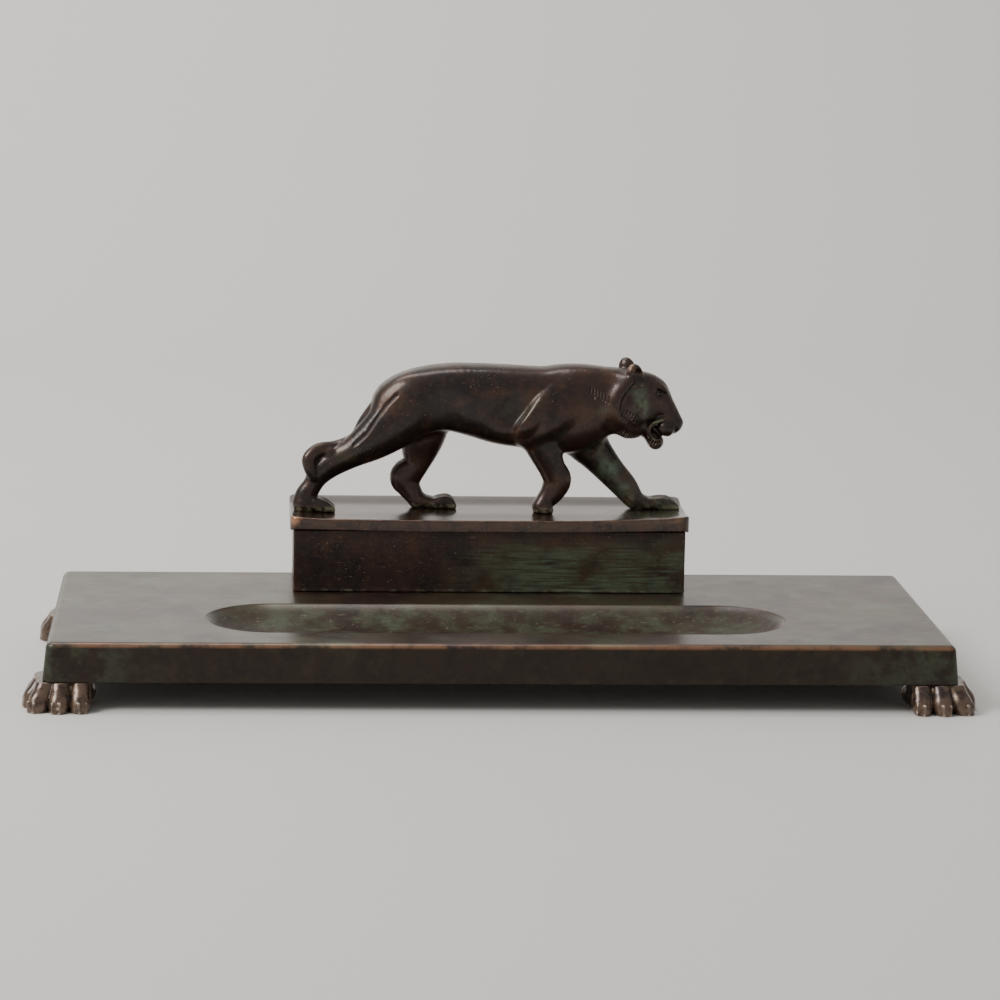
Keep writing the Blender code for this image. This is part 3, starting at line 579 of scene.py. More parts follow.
def figure_sculpture():
    cat = Sculpture(SOLE)
    for stations, power, k in (
        (TORSO, 2.8, 2.0), (NEAR_HIND_LEG, 1.95, 2.5), (FAR_HIND_LEG, 2.3, 2.5), (NEAR_UPPER_ARM, 2.8, 1.6),
        (ELBOW_RIDGE, 2.6, 1.3), (NEAR_FRONT_LEG, 2.3, 1.6), (mirrored(NEAR_UPPER_ARM), 2.8, 1.6),
        (mirrored(ELBOW_RIDGE), 2.6, 1.3), (FAR_FRONT_LEG, 2.3, 2.5),
    ):
        cat.add(Limb(stations, power), k)
    add_head(cat)
    for centre, instep, toe in PAWS:
        add_paw(cat, centre, instep, toe)
    cat.add(Limb(TAIL), 0.5)
    cat.add(Blob((-70.4, 43.2, 88.4), (2.7, 2.2, 2.2)), 1.0)
    for side in (-1, 1):
        cat.take(Blob((-21, BODY_Y + side * 14.6, 100), (6.5, 3.8, 12), nose_down=-12), 5.0)
        cat.take(Blob((8.4, BODY_Y + side * 14.2, 108), (5.2, 3.2, 9.5), nose_down=40), 3.0)
        groove(cat, TAIL_GROOVE, 0.7, side)
    for side in (-1, 1):
        for start, end, slant, count in HATCHES:
            engrave(cat, start, end, slant, count, side)
    return cat


def near_hatches(centres):
    """Which faces lie on or close to the engraved strokes."""
    found = np.zeros(len(centres), bool)
    for start, end, _, _ in HATCHES:
        line = np.array(end) - np.array(start)
        away = centres[:, [0, 2]] - np.array(start)
        t = np.clip(away @ line / (line @ line), 0, 1)
        found |= np.hypot(*(away - t[:, None] * line).T) < 2.0
    return found & (np.abs(centres[:, 1] - BODY_Y) > 2)


def cat_figure(look):
    details = ((lambda c: (c[:, 0] > 54) & (c[:, 2] > 90) | near_hatches(c), near_hatches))
    obj = figure_sculpture().mesh("walking_cat", FIGURE_VOXEL, details)
    obj.data.shade_smooth()
    finish_piece(obj, "lid", "cat_figure", look)


# ---------------- base and feet


def dish_rings(offset, top):
    """Rings of the pen tray from its floor up to its rim, with a rounded lip that runs out onto the top."""
    rings = []
    shares = np.concatenate([[0.06], np.linspace(0.15, 0.9, 16), [0.94, 0.97, 0.985]])
    for share in shares:
        rim = share**6
        drop = DISH_DEPTH * (1 - share**DISH_SHARPNESS) + offset * (1 - rim) + (BASE_HIGH[2] - top) * rim
        rings.append(stadium(DISH_STRAIGHT, (DISH_RADIUS + offset) * share, BASE_HIGH[2] - drop))
    return rings


def base_casting(look):
    """The base: a drafted slab with rounded edges, hollow below, with the pen tray sunk into its top."""
    top = BASE_HIGH[2]
    half_x, half_y = BASE_HIGH[0], BASE_HIGH[1]
    bottom = BASE_LOW[2]

    def outline(inset, z, corner=3, steps=8):
        return rounded_rectangle(half_x - inset, half_y - inset, corner, z, steps=steps)

    rings = []
    for angle in np.radians(np.linspace(0, 90, 5)):
        inset = BASE_EDGE * (1 - math.sin(angle))
        rings.append(outline(inset, bottom + BASE_EDGE * (1 - math.cos(angle)), BASE_CORNER - inset, 12))
    for angle in np.radians(np.linspace(0, 90, 13)):
        inset = BASE_DRAFT + BASE_FILLET * (1 - math.cos(angle))
        rings.append(outline(inset, top - BASE_FILLET * (1 - math.sin(angle)), BASE_CORNER - inset, 12))
    base = lofted("base_casting", rings)
    hollow = bmesh.new()
    loft(hollow, [
        outline(BASE_WALL - 0.3, bottom - 1), outline(BASE_WALL, bottom + 0.6),
        outline(BASE_WALL + 1, top - BASE_WALL - 1.5), outline(BASE_WALL + 2.4, top - BASE_WALL),
    ])
    cut(base, hollow)
    metal = bmesh.new()
    loft(metal, dish_rings(BASE_WALL, top - 1.0))
    for sx in (-1, 1):
        for sy in (-1, 1):
            verts = loft(metal, [circle(FOOT_BOSS[0], bottom + 0.05, 40), circle(FOOT_BOSS[1], top - 2, 40)])
            bmesh.ops.translate(metal, vec=(sx * FOOT_CENTRE[0], sy * FOOT_CENTRE[1], 0), verts=verts)
    cut(base, metal, "UNION")
    dish = bmesh.new()
    rings = dish_rings(0.0, top)
    for angle in np.radians(np.linspace(15, 88, 7)):
        z = top - DISH_LIP * 0.55 * (1 - math.sin(angle))
        rings.append(stadium(DISH_STRAIGHT, DISH_RADIUS + DISH_LIP * (1 - math.cos(angle)), z))
    rings += [stadium(DISH_STRAIGHT, DISH_RADIUS + DISH_LIP + 0.1, top + rise) for rise in (0.1, 3)]
    loft(dish, rings)
    cut(base, dish)
    drill(base, [f"foot_screw_{corner}" for corner, _, _ in CORNERS] + four("box_screw"))
    finish_piece(base, "base", "base_tray", look, 40)


def screw_size(node):
    """Axis, lowest and highest point, and head radius of a CAD screw."""
    low, high = limits(node)
    return (low[0] + high[0]) / 2, (low[1] + high[1]) / 2, low[2], high[2], (high[0] - low[0]) / 2


def screw_hole(bm, node):
    x, y, low, high, head = screw_size(node)
    shank = head * SHANK_SHARE
    rings = [(head, low - 4), (head, low + SCREW_RIM), (shank, low + 0.6 + head - shank)]
    rings.append((shank, high + HOLE_GAP))
    turned(bm, [(radius + HOLE_GAP, z) for radius, z in rings], 40, Matrix.Translation((x, y, 0)))


def four(name):
    return [f"{name}_{i}" for i in range(1, 5)]


def drill(obj, screws, rivets=()):
    """Holes for the named screws and rivets."""
    holes = bmesh.new()
    for node in screws:
        screw_hole(holes, node)
    for node in rivets:
        rivet_hole(holes, node)
    cut(obj, holes)


def fine_screw(node, body, look):
    """Countersunk screw seen from below: domed head, worn slot, thread on the shank."""
    x, y, low, high, head = screw_size(node)
    shank = head * SHANK_SHARE
    rim = head - 0.04
    neck = low + SCREW_RIM + head - shank
    profile = [(head * 0.55, low), (head * 0.9, low + 0.08), (rim, low + 0.22), (rim, low + 0.4)]
    profile.append((shank, neck))
    pitch = 0.9
    z = neck + 0.6
    while z < high - 1.4:
        profile += [(shank, z), (shank * 0.82, z + pitch * 0.5)]
        z += pitch
    profile += [(shank * 0.95, high - 1.0), (shank * 0.5, high - 0.02)]
    screw = lathe(f"fine_{node}", profile, Matrix.Translation((x, y, 0)))
    slot = bmesh.new()
    block(slot, (x - head - 1, x + head + 1), (y - 0.4, y + 0.4), (low - 1, low + 0.6))
    cut(screw, slot)
    finish_piece(screw, body, node, look, 40)


# The foot at the corner of +X and +Y: where each toe's top, knuckle and tip lie, as x, y
TOES = (
    ((174.2, 71.4), (174.2, 75.8), (174.4, 77.6)), ((182.4, 71.4), (182.8, 76.4), (183.2, 78.2)),
    ((188.2, 70.6), (191.0, 75.2), (192.0, 76.6)), ((189.6, 64.6), (193.6, 66.8), (194.4, 67.4)),
    ((189.4, 57.6), (193.2, 58.2), (194.0, 58.4)),
)


def paw_foot(name, sign_x, sign_y, look):
    """Lion's paw: an ankle that spreads into ridged toes with two small claws each."""
    paw = Sculpture(0.0, BASE_LOW[2] - 0.1)

    def limb(stations, k, power=2.2):
        paw.add(Limb([(sign_x * x, sign_y * y, z, high, wide) for x, y, z, high, wide in stations], power), k)

    limb(((173, 58, 4.4, 4.4, 5), (180, 65, 4.6, 8, 9), (185, 70, 4.2, 6, 6)), 1.0)
    limb(((177, 62, 13.5, 7.2, 9.0), (178, 64, 9, 7.6, 9.4), (180, 67, 5, 8, 8.6)), 2.0, 3.0)
    for (x0, y0), (x1, y1), (x2, y2) in TOES:
        limb(((x0, y0, 14, 4.3, 4.2), (x0, y0, 11.0, 4.3, 4.2), ((x0 + x1) / 2, (y0 + y1) / 2, 7.2, 4.2, 4.1),
              (x1, y1, 4.0, 4.5, 4.4), (x2, y2, 2.0, 3.8, 3.8)), 0.45, 2.5)
        along = Vector((x2 - 180, y2 - 64, 0)).normalized()
        across = Vector((-along.y, along.x, 0))
        for side in (-1, 1):
            top = Vector((x2, y2, 4.2)) + along * 2.9 + across * (side * 1.5)
            tip = Vector((x2, y2, 0.4)) + along * 3.2 + across * (side * 1.3)
            limb(((*top, 0.8, 0.8), (*tip, 0.8, 0.8)), 0.3)
    x, y, low, high, head = screw_size(f"foot_screw_{name}")
    shank = head * SHANK_SHARE + HOLE_GAP
    paw.take(Limb(((x, y, low - 6, head + 0.3, head + 0.3), (x, y, low + 0.6, head + 0.3, head + 0.3))), 0.2)
    paw.take(Limb(((x, y, low, shank, shank), (x, y, high, shank, shank)), steps=2), 0.2)
    foot = paw.mesh(f"paw_{name}", PAW_VOXEL)
    foot.data.shade_smooth()
    foot.data.set_sharp_from_angle(angle=math.radians(55))
    finish_piece(foot, "base", f"foot_{name}", look)


# ---------------- box and what it holds


def box_casting(look):
    """The box: soldered plates with a line round its foot and a rebated rim."""
    mid_y = (BOX_LOW[1] + BOX_HIGH[1]) / 2
    half_x, half_y = BOX_HIGH[0], BOX_HIGH[1] - mid_y
    bottom, top = BOX_LOW[2], BOX_HIGH[2]

    def outline(grow, z, radius=0.9):
        return rounded_rectangle(half_x + grow, half_y + grow, radius, z, (0, mid_y), 4)

    box = lofted("well_box_casting", [
        outline(-0.25, bottom), outline(0, bottom + 0.25), outline(0, bottom + 1.5),
        outline(-0.12, bottom + 1.7), outline(-0.12, top - 0.3), outline(-0.4, top),
    ])
    inside = bmesh.new()
    wall = BOX_WALL
    loft(inside, [
        outline(-wall - 0.6, bottom + BOX_FLOOR, 0.6), outline(-wall, bottom + BOX_FLOOR + 0.6, 1),
        outline(-wall, top - 0.3, 1), outline(-wall + 0.3, top + 0.01, 1), outline(-wall + 0.3, top + 4, 1),
    ])
    cut(box, inside)
    drill(box, four("box_screw"), four("hinge_box_rivet"))
    finish_piece(box, "base", "well_box", look, 35)


def along_y(x, y, z):
    """Turns a shape made along +Z so that it points to +Y, at the given place."""
    return Matrix.Translation((x, y, z)) @ rotation(-90, "X")


def along_x(x, y, z):
    return Matrix.Translation((x, y, z)) @ rotation(90, "Y")


def rivet_hole(bm, node):
    low, high = limits(node)
    x, z = (low[0] + high[0]) / 2, (low[2] + high[2]) / 2
    turned(bm, [(RIVET_HOLE_RADIUS, low[1] - 0.3), (RIVET_HOLE_RADIUS, low[1] + 7)], 32, along_y(x, 0, z))


def fine_rivet(node, body, look):
    """Round-headed rivet, slightly flattened by the hammer."""
    low, high = limits(node)
    x, z = (low[0] + high[0]) / 2, (low[2] + high[2]) / 2
    head = (high[0] - low[0]) / 2
    face = high[1] - 0.8
    profile = [(RIVET_SHANK, low[1]), (RIVET_SHANK, face), (head - 0.02, face)]
    for angle in np.radians(np.linspace(10, 80, 6)):
        profile.append((head * math.cos(angle), face + 0.78 * math.sin(angle)))
    rivet = lathe(f"fine_{node}", profile, along_y(x, 0, z))
    finish_piece(rivet, body, node, look, 60)


def fine_pin(node, look):
    low, high = limits(node)
    y, z = (low[1] + high[1]) / 2, (low[2] + high[2]) / 2
    head = (high[2] - low[2]) / 2 - 0.01
    ends = [(head * 0.5, 0.02), (head * 0.85, 0.2), (head, 0.6), (head, PIN_HEAD), (PIN_RADIUS, PIN_HEAD)]
    profile = [(radius, low[0] + x) for radius, x in ends]
    profile += [(radius, high[0] - x) for radius, x in reversed(ends)]
    pin = lathe(f"fine_{node}", profile, along_x(0, y, z))
    finish_piece(pin, "base", node, look, 60)


def glass_well(node, look):
    """Pressed glass well with a round bore, rounded corners and a fire-polished mouth."""
    low, high = limits(node)
    mid = [(a + b) / 2 for a, b in zip(low, high)]
    half = high[0] - mid[0] - 0.02

    def outline(inset, z):
        return rounded_rectangle(half - inset, half - inset, 4 - inset * 0.5, z, mid[:2], 10)

    turns = np.radians(np.linspace(0, 90, 5))
    rings = [outline(1 - math.sin(turn), low[2] + 1 - math.cos(turn)) for turn in turns]
    rings += [outline(1 - math.cos(turn), high[2] - 1 + math.sin(turn)) for turn in turns]
    well = lofted(f"pressed_{node}", rings)
    floor = low[2] + WELL_FLOOR
    profile = []
    for share in np.linspace(0.1, 1, 10):
        profile.append((WELL_BORE * share, floor + 4.5 * (1 - math.sqrt(max(1 - share**3, 0)))))
    for turn in np.radians(np.linspace(0, 85, 7)):
        out, down = 1 - math.cos(turn), 1 - math.sin(turn)
        profile.append((WELL_BORE + WELL_LIP * out, high[2] - WELL_LIP * down))
    profile += [(WELL_BORE + WELL_LIP, high[2] + 0.05), (WELL_BORE + WELL_LIP, high[2] + 3)]
    bore = bmesh.new()
    turned(bore, profile, 72, Matrix.Translation((mid[0], mid[1], 0)))
    cut(well, bore)
    finish_piece(well, "base", node, look, 40)


# ---------------- lid


def lid_height(x, y):
    """Top of the lid: it sags a little in front of the middle, and rises to the ends and to the back."""
    ends = LID_END_RISE * smooth_step(LID_HIGH[0] - 16, LID_HIGH[0], abs(x))
    back = LID_BACK_RISE * smooth_step(LID_HIGH[1] - 14, LID_HIGH[1], y)
    front = 1 - smooth_step(LID_LOW[1], LID_LOW[1] + 16, y)
    sag = LID_SAG * front * (1 - (x / LID_HIGH[0]) ** 2)
    right = LID_RIGHT_RISE * front * smooth_step(0.4 * LID_HIGH[0], LID_HIGH[0], x)
    return LID_TOP + ends + back - sag + right


def lid_casting(look):
    """The lid: a thin dished plate whose bowed front edge turns down over the box."""
    mid_y = (LID_LOW[1] + LID_HIGH[1]) / 2
    half_x, half_y = LID_HIGH[0], LID_HIGH[1] - mid_y
    bottom = LID_LOW[2]

    def outline(inset, drop=None, lift=0.0):
        corner = max(LID_CORNER - inset, 0.5)
        ring = rounded_rectangle(half_x - inset, half_y - inset, corner, 0, (0, mid_y), 8, LID_SIDES)
        for point in ring:
            height = lid_height(point.x, point.y)
            if drop is None:
                front = 1 - smooth_step(LID_LOW[1], LID_LOW[1] + 4, point.y)
                point.z = bottom + lift + 0.9 * front * smooth_step(0.3 * half_x, half_x, abs(point.x))
            else:
                point.z = height - drop
        return ring

    rings = [outline(0.5), outline(0.12, lift=0.15), outline(0.0, lift=0.5), outline(0.0, 1.1)]
    for angle in np.radians(np.linspace(20, 90, 5)):
        rings.append(outline(0.9 * (1 - math.cos(angle)), 0.9 * (1 - math.sin(angle))))
    rings += [outline(inset, 0.0) for inset in (1.6, 3.0, 5.0, 7.0, 9.0, 11.0, 13.0, 15.0, 16.5)]
    lid = lofted("lid_casting", rings)
    for inset, back, low, high in (
        (LID_SKIRT, LID_HIGH[1] + 5, LID_SEAT - 6, LID_SEAT),
        (LID_MARGIN, LID_HIGH[1] - LID_MARGIN, LID_SEAT - 4, LID_SEAT + LID_RECESS),
    ):
        tool = bmesh.new()
        block(tool, (inset - half_x, half_x - inset), (LID_LOW[1] + inset, back), (low, high))
        cut(lid, tool)
    drill(lid, four("figure_screw"), four("hinge_lid_rivet"))
    finish_piece(lid, "lid", "lid", look, 35)


# ---------------- stage, light and camera


def add_camera():
    """Camera turned to the right by its yaw, down by its pitch and about its view by its roll."""
    data = bpy.data.cameras.new("camera")
    data.lens = CAMERA_LENS
    data.sensor_width = SENSOR
    camera = bpy.data.objects.new("camera", data)
    turn = rotation(-CAMERA_YAW, "Z") @ rotation(90 - CAMERA_PITCH, "X") @ rotation(CAMERA_ROLL, "Z")
    camera.matrix_world = Matrix.Translation(Vector(CAMERA_PLACE) * MM) @ turn
    bpy.context.scene.collection.objects.link(camera)
    bpy.context.scene.camera = camera


def simple_look(name, colour, metallic, roughness):
    look = bpy.data.materials.new(name)
    look.use_nodes = True
    shader = look.node_tree.nodes["Principled BSDF"]
    shader.inputs["Base Color"].default_value = (*colour, 1)
    shader.inputs["Metallic"].default_value = metallic
    shader.inputs["Roughness"].default_value = roughness
    return look


def add_floor():
    """The floor, which bends up into the wall behind."""
    bm = bmesh.new()
    back, bend = 900, 700
    turns = np.radians(range(6, 90, 6))
    profile = [(-3000, 0), (back, 0)]
    profile += [(back + bend * math.sin(a), bend - bend * math.cos(a)) for a in turns]
    profile += [(back + bend, bend), (back + bend, 4000)]
    rows = [[bm.verts.new((x, y, z)) for y, z in profile] for x in (-5000, 5000)]
    for i in range(len(profile) - 1):
        bm.faces.new((rows[0][i], rows[1][i], rows[1][i + 1], rows[0][i + 1]))
    floor = to_object("floor", bm)
    floor.data.shade_smooth()
    floor.data.materials.append(simple_look("pale_floor", (0.66, 0.645, 0.625), 0.0, 0.6))


def add_light(name, place, size, power, colour=(1, 1, 1), target=(0, 0, 0.05)):
    data = bpy.data.lights.new(name, "AREA")
    data.shape = "RECTANGLE"
    data.size, data.size_y = size
    data.energy = power
    data.color = colour
    light = bpy.data.objects.new(name, data)
    light.location = place
    light.rotation_euler = (Vector(target) - Vector(place)).to_track_quat("-Z", "Y").to_euler()
    bpy.context.scene.collection.objects.link(light)


def add_lights():
    world = bpy.data.worlds.new("studio")
    bpy.context.scene.world = world
    world.use_nodes = True
    sky = world.node_tree.nodes["Background"].inputs
    sky["Color"].default_value = (0.80, 0.78, 0.76, 1)
    sky["Strength"].default_value = 0.60
    add_light("key", (-1.5, -0.6, 1.5), (1.0, 1.0), 40, (1, 0.98, 0.95))
    add_light("wall_wash", (-0.6, 0.5, 1.9), (1.6, 0.8), 26, (1, 0.98, 0.95), (-0.2, 1.5, 0.6))


def worn_edges(obj, look):
    """Gives a CAD part its look, and edges rounded a little by handling."""
    obj.data.materials.clear()
    obj.data.materials.append(look)
    bevel = obj.modifiers.new("worn_edges", "BEVEL")
    bevel.width = WEAR * MM
    bevel.segments = 2
    bevel.limit_method = "ANGLE"
    bevel.angle_limit = math.radians(35)
    bevel.use_clamp_overlap = True
    finish_normals(obj)


# ---------------- looks


class Look:
    """A procedural material, built up in layers of colour and roughness over a base."""

    def __init__(self, name, colour, metallic, roughness, coat=0.0):
        self.material = simple_look(name, colour, metallic, roughness)
        self.tree = self.material.node_tree
        self.shader = self.tree.nodes["Principled BSDF"]
        self.set("Coat Weight", coat)
        self.set("Coat Roughness", 0.16)
        self.places = self.node("TexCoord").outputs["Object"]
        self.shape = self.node("NewGeometry")
        self.colour = None
        self.height = None
        self.first = colour

    def node(self, kind):
        return self.tree.nodes.new("ShaderNode" + kind)

    def link(self, output, socket):
        self.tree.links.new(output, socket)

    def set(self, socket, given):
        self.shader.inputs[socket].default_value = given

    def value(self, socket, given):
        if isinstance(given, bpy.types.NodeSocket):
            self.link(given, socket)
        else:
            socket.default_value = given

    def math(self, operation, a, b=0.0):
        node = self.node("Math")
        node.operation = operation
        self.value(node.inputs[0], a)
        self.value(node.inputs[1], b)
        return node.outputs[0]

    def times(self, *masks):
        result = masks[0]
        for mask in masks[1:]:
            result = self.math("MULTIPLY", result, mask)
        return result

    def ramp(self, value, low, high):
        """0 at low, 1 at high, smooth between; low may be above high."""
        node = self.node("MapRange")
        node.interpolation_type = "SMOOTHSTEP"
        flip = low > high
        self.value(node.inputs["Value"], value)
        node.inputs["From Min"].default_value = high if flip else low
        node.inputs["From Max"].default_value = low if flip else high
        node.inputs["To Min"].default_value = 1.0 if flip else 0.0
        node.inputs["To Max"].default_value = 0.0 if flip else 1.0
        return node.outputs["Result"]

    def moved(self, scale, shift):
        """The places on the piece, scaled and then shifted."""
        node = self.node("Mapping")
        self.link(self.places, node.inputs["Vector"])
        node.inputs["Scale"].default_value = scale
        node.inputs["Location"].default_value = shift
        return node.outputs[0]

    def noise(self, size, detail=3.0, stretch=(1, 1, 1), offset=0.0):
        """Noise whose patches are about size millimetres across."""
        node = self.node("TexNoise")
        self.link(self.moved(stretch, (offset, offset * 0.7, offset * 1.3)), node.inputs["Vector"])
        node.inputs["Scale"].default_value = 1 / (size * MM)
        node.inputs["Detail"].default_value = detail
        node.inputs["Roughness"].default_value = 0.62
        return node.outputs["Fac"]

    def clouds(self, low, high, *noise, **shape):
        """Patches of noise: 0 where it is at low, 1 where it is at high."""
        return self.ramp(self.noise(*noise, **shape), low, high)

    def part(self, vector, letter):
        node = self.node("SeparateXYZ")
        self.link(vector, node.inputs[0])
        return node.outputs[letter]

    def axis(self, letter):
        """One object coordinate, in millimetres."""
        return self.math("MULTIPLY", self.part(self.places, letter), 1 / MM)

    def spot(self, centre, radii):
        """1 at a place, fading out to 0 at radii around it; all in millimetres."""
        away = self.moved([1 / (r * MM) for r in radii], [-c / r for c, r in zip(centre, radii)])
        length = self.node("VectorMath")
        length.operation = "LENGTH"
        self.link(away, length.inputs[0])
        return self.ramp(length.outputs["Value"], 1.0, 0.2)

    def edges(self, low, high):
        return self.ramp(self.shape.outputs["Pointiness"], low, high)

    def facing(self, letter, low, high):
        return self.ramp(self.part(self.shape.outputs["Normal"], letter), low, high)

    def layer(self, colour, strength, *masks):
        """Covers what is below with a colour, where all the masks are and as far as the strength goes."""
        mask = self.times(*masks)
        mask = mask if strength == 1.0 else self.math("MULTIPLY", mask, strength)
        node = self.node("Mix")
        node.data_type = "RGBA"
        self.value(node.inputs["Factor"], mask)
        below = self.colour if self.colour is not None else (*self.first, 1)
        self.value(node.inputs[6], below)
        node.inputs[7].default_value = (*colour, 1)
        self.colour = node.outputs[2]

    def bump(self, height, depth):
        """Adds to the fine relief; depth is in millimetres."""
        scaled = self.math("MULTIPLY", height, depth)
        self.height = scaled if self.height is None else self.math("ADD", self.height, scaled)

    def vary(self, socket, mask, low, high):
        """Sets a shader value to low where the mask is 0 and to high where it is 1."""
        node = self.node("MapRange")
        self.value(node.inputs["Value"], mask)
        for name, given in (("To Min", low), ("To Max", high)):
            self.value(node.inputs[name], given)
        self.link(node.outputs["Result"], self.shader.inputs[socket])
        return node.outputs["Result"]

    def rough(self, mask, low, high):
        return self.vary("Roughness", mask, low, high)

    def done(self):
        if self.colour is not None:
            self.link(self.colour, self.shader.inputs["Base Color"])
        if self.height is not None:
            node = self.node("Bump")
            node.inputs["Distance"].default_value = MM
            node.inputs["Strength"].default_value = 1.0
            self.link(self.height, node.inputs["Height"])
            self.link(node.outputs[0], self.shader.inputs["Normal"])
        return self.material


BROWN = (0.036, 0.018, 0.013)
DARK_BROWN = (0.016, 0.010, 0.009)
RED_BROWN = (0.072, 0.032, 0.018)
OLIVE = (0.062, 0.052, 0.026)
VERDIGRIS = (0.115, 0.165, 0.105)
PALE_GREEN = (0.30, 0.31, 0.19)
COPPER = (0.36, 0.17, 0.085)
PALE_SPECK = (0.30, 0.24, 0.19)


def patina(name, roughness=0.34, coat=0.3, metallic=0.5):
    """Dark waxed bronze: brown clouds, patchy gloss, pale pits and fine relief."""
    look = Look(name, BROWN, metallic, roughness, coat)
    look.layer(DARK_BROWN, 1.0, look.clouds(0.46, 0.60, 24, 8))
    look.layer(RED_BROWN, 0.7, look.clouds(0.50, 0.66, 15, 8, offset=3))
    look.layer(RED_BROWN, 0.45, look.clouds(0.50, 0.68, 3.2, 6, offset=6))
    look.layer(DARK_BROWN, 0.55, look.clouds(0.54, 0.68, 2.2, 5, offset=12))
    look.layer(OLIVE, 0.45, look.clouds(0.55, 0.70, 20, 8, offset=7))
    pits = look.clouds(0.67, 0.72, 0.8, 2, offset=1)
    look.layer(PALE_SPECK, 0.85, pits, look.clouds(0.46, 0.60, 11, 3, offset=5))
    look.rough(look.noise(6, 7, offset=2), roughness - 0.14, roughness + 0.18)
    look.bump(look.noise(9, 3), 0.12)
    look.bump(look.noise(1.6, 6, offset=4), 0.08)
    return look


def cat_look():
    look = patina("patina_cat")
    look.layer(DARK_BROWN, 1.0, look.edges(0.49, 0.44))
    green = look.clouds(0.36, 0.60, 4.5, 7, offset=9)
    for centre, radii, strength in (
        ((66.5, 42, 110.5), (5.5, 9, 9), 0.8), ((66, 60, 110), (5.5, 9, 9), 0.8),
        ((64, 43, 117.5), (7, 8, 4.5), 0.4), ((71.5, 43, 104.6), (4, 5, 2.4), 0.4),
        ((46, 50, 92), (9, 9, 9), 0.6), ((53, 52, 80), (8, 9, 9), 0.8), ((60, 52, 70), (9, 9, 8), 0.6),
        ((50, 44, 108), (7, 8, 6), 0.25), ((30, 40, 99), (5, 6, 5), 0.3), ((73, 52, 66), (14, 9, 5), 0.5),
    ):
        look.layer(VERDIGRIS, strength, look.spot(centre, radii), green)
    sole = look.times(look.ramp(look.axis("Z"), 65.2, 62.4), look.clouds(0.40, 0.56, 2.5, 5))
    look.layer(PALE_GREEN, 0.8, sole)
    look.layer(COPPER, 0.5, look.edges(0.53, 0.60))
    ear = look.times(look.spot((60.6, 42.5, 127.5), (3.4, 4, 3.8)), look.edges(0.50, 0.55))
    look.layer((0.52, 0.26, 0.13), 1.0, ear)
    look.layer(DARK_BROWN, 0.85, look.spot((75.2, 45, 115.1), (2.6, 4, 2.4)))
    lips = look.times(look.spot((74.5, BODY_Y, 102.5), (7, 30, 5)), look.edges(0.505, 0.545))
    look.layer((0.20, 0.23, 0.15), 0.55, lips)
    for start, end, _, _ in HATCHES:
        x, z = (start[0] + end[0]) / 2, (start[1] + end[1]) / 2
        radii = (abs(end[0] - start[0]) / 2 + 3, 30, abs(end[1] - start[1]) / 2 + 3.4)
        look.layer((0.31, 0.26, 0.21), 1.0, look.spot((x, BODY_Y, z), radii), look.edges(0.51, 0.55))
    return look.done()


def lid_look():
    look = patina("patina_lid", 0.24, 0.5, 0.4)
    rim = look.times(look.ramp(look.axis("Z"), 59.6, 61.0), look.ramp(look.axis("Y"), 29.6, 28.2))
    look.layer(COPPER, 0.35, rim, look.clouds(0.36, 0.66, 6, 6))
    front = look.times(look.ramp(look.axis("Y"), 30.5, 28.5), look.clouds(0.40, 0.56, 7, 6, offset=6))
    look.layer((0.080, 0.042, 0.026), 0.6, front)
    look.layer(COPPER, 1.0, look.spot((-86.5, 28, 61), (5, 4, 4)), look.clouds(0.35, 0.5, 3, 5))
    stain = look.times(look.spot((72, 40, 61.6), (30, 16, 6)), look.clouds(0.35, 0.60, 6, 7, offset=8))
    look.layer(VERDIGRIS, 0.5, stain)
    look.rough(look.noise(12, 7, offset=2), 0.14, 0.30)
    look.set("Coat IOR", 1.45)
    look.set("Coat Roughness", 0.12)
    return look.done()


def box_look():
    look = patina("patina_box", 0.42, 0.1, 0.4)
    brushed = look.noise(1.0, 5, stretch=(0.05, 1, 1), offset=2)
    look.bump(brushed, 0.06)
    right = look.times(look.ramp(look.axis("X"), -30, 25), look.ramp(look.axis("Z"), 55, 42))
    patches = look.clouds(0.36, 0.58, 11, 8, stretch=(0.6, 1, 1), offset=5)
    look.layer(OLIVE, 0.7, right, look.clouds(0.36, 0.56, 14, 7, offset=15))
    look.layer(VERDIGRIS, 0.75, right, patches, look.ramp(brushed, 0.32, 0.62))
    low = look.times(look.ramp(look.axis("Z"), 30.2, 29.4), look.clouds(0.48, 0.62, 5, 6))
    look.layer(PALE_GREEN, 0.3, low)
    look.layer(RED_BROWN, 0.45, look.ramp(brushed, 0.58, 0.70))
    scratch = look.clouds(0.68, 0.74, 0.5, 3, stretch=(0.12, 1, 1), offset=9)
    look.layer(PALE_SPECK, 0.6, scratch)
    return look.done()


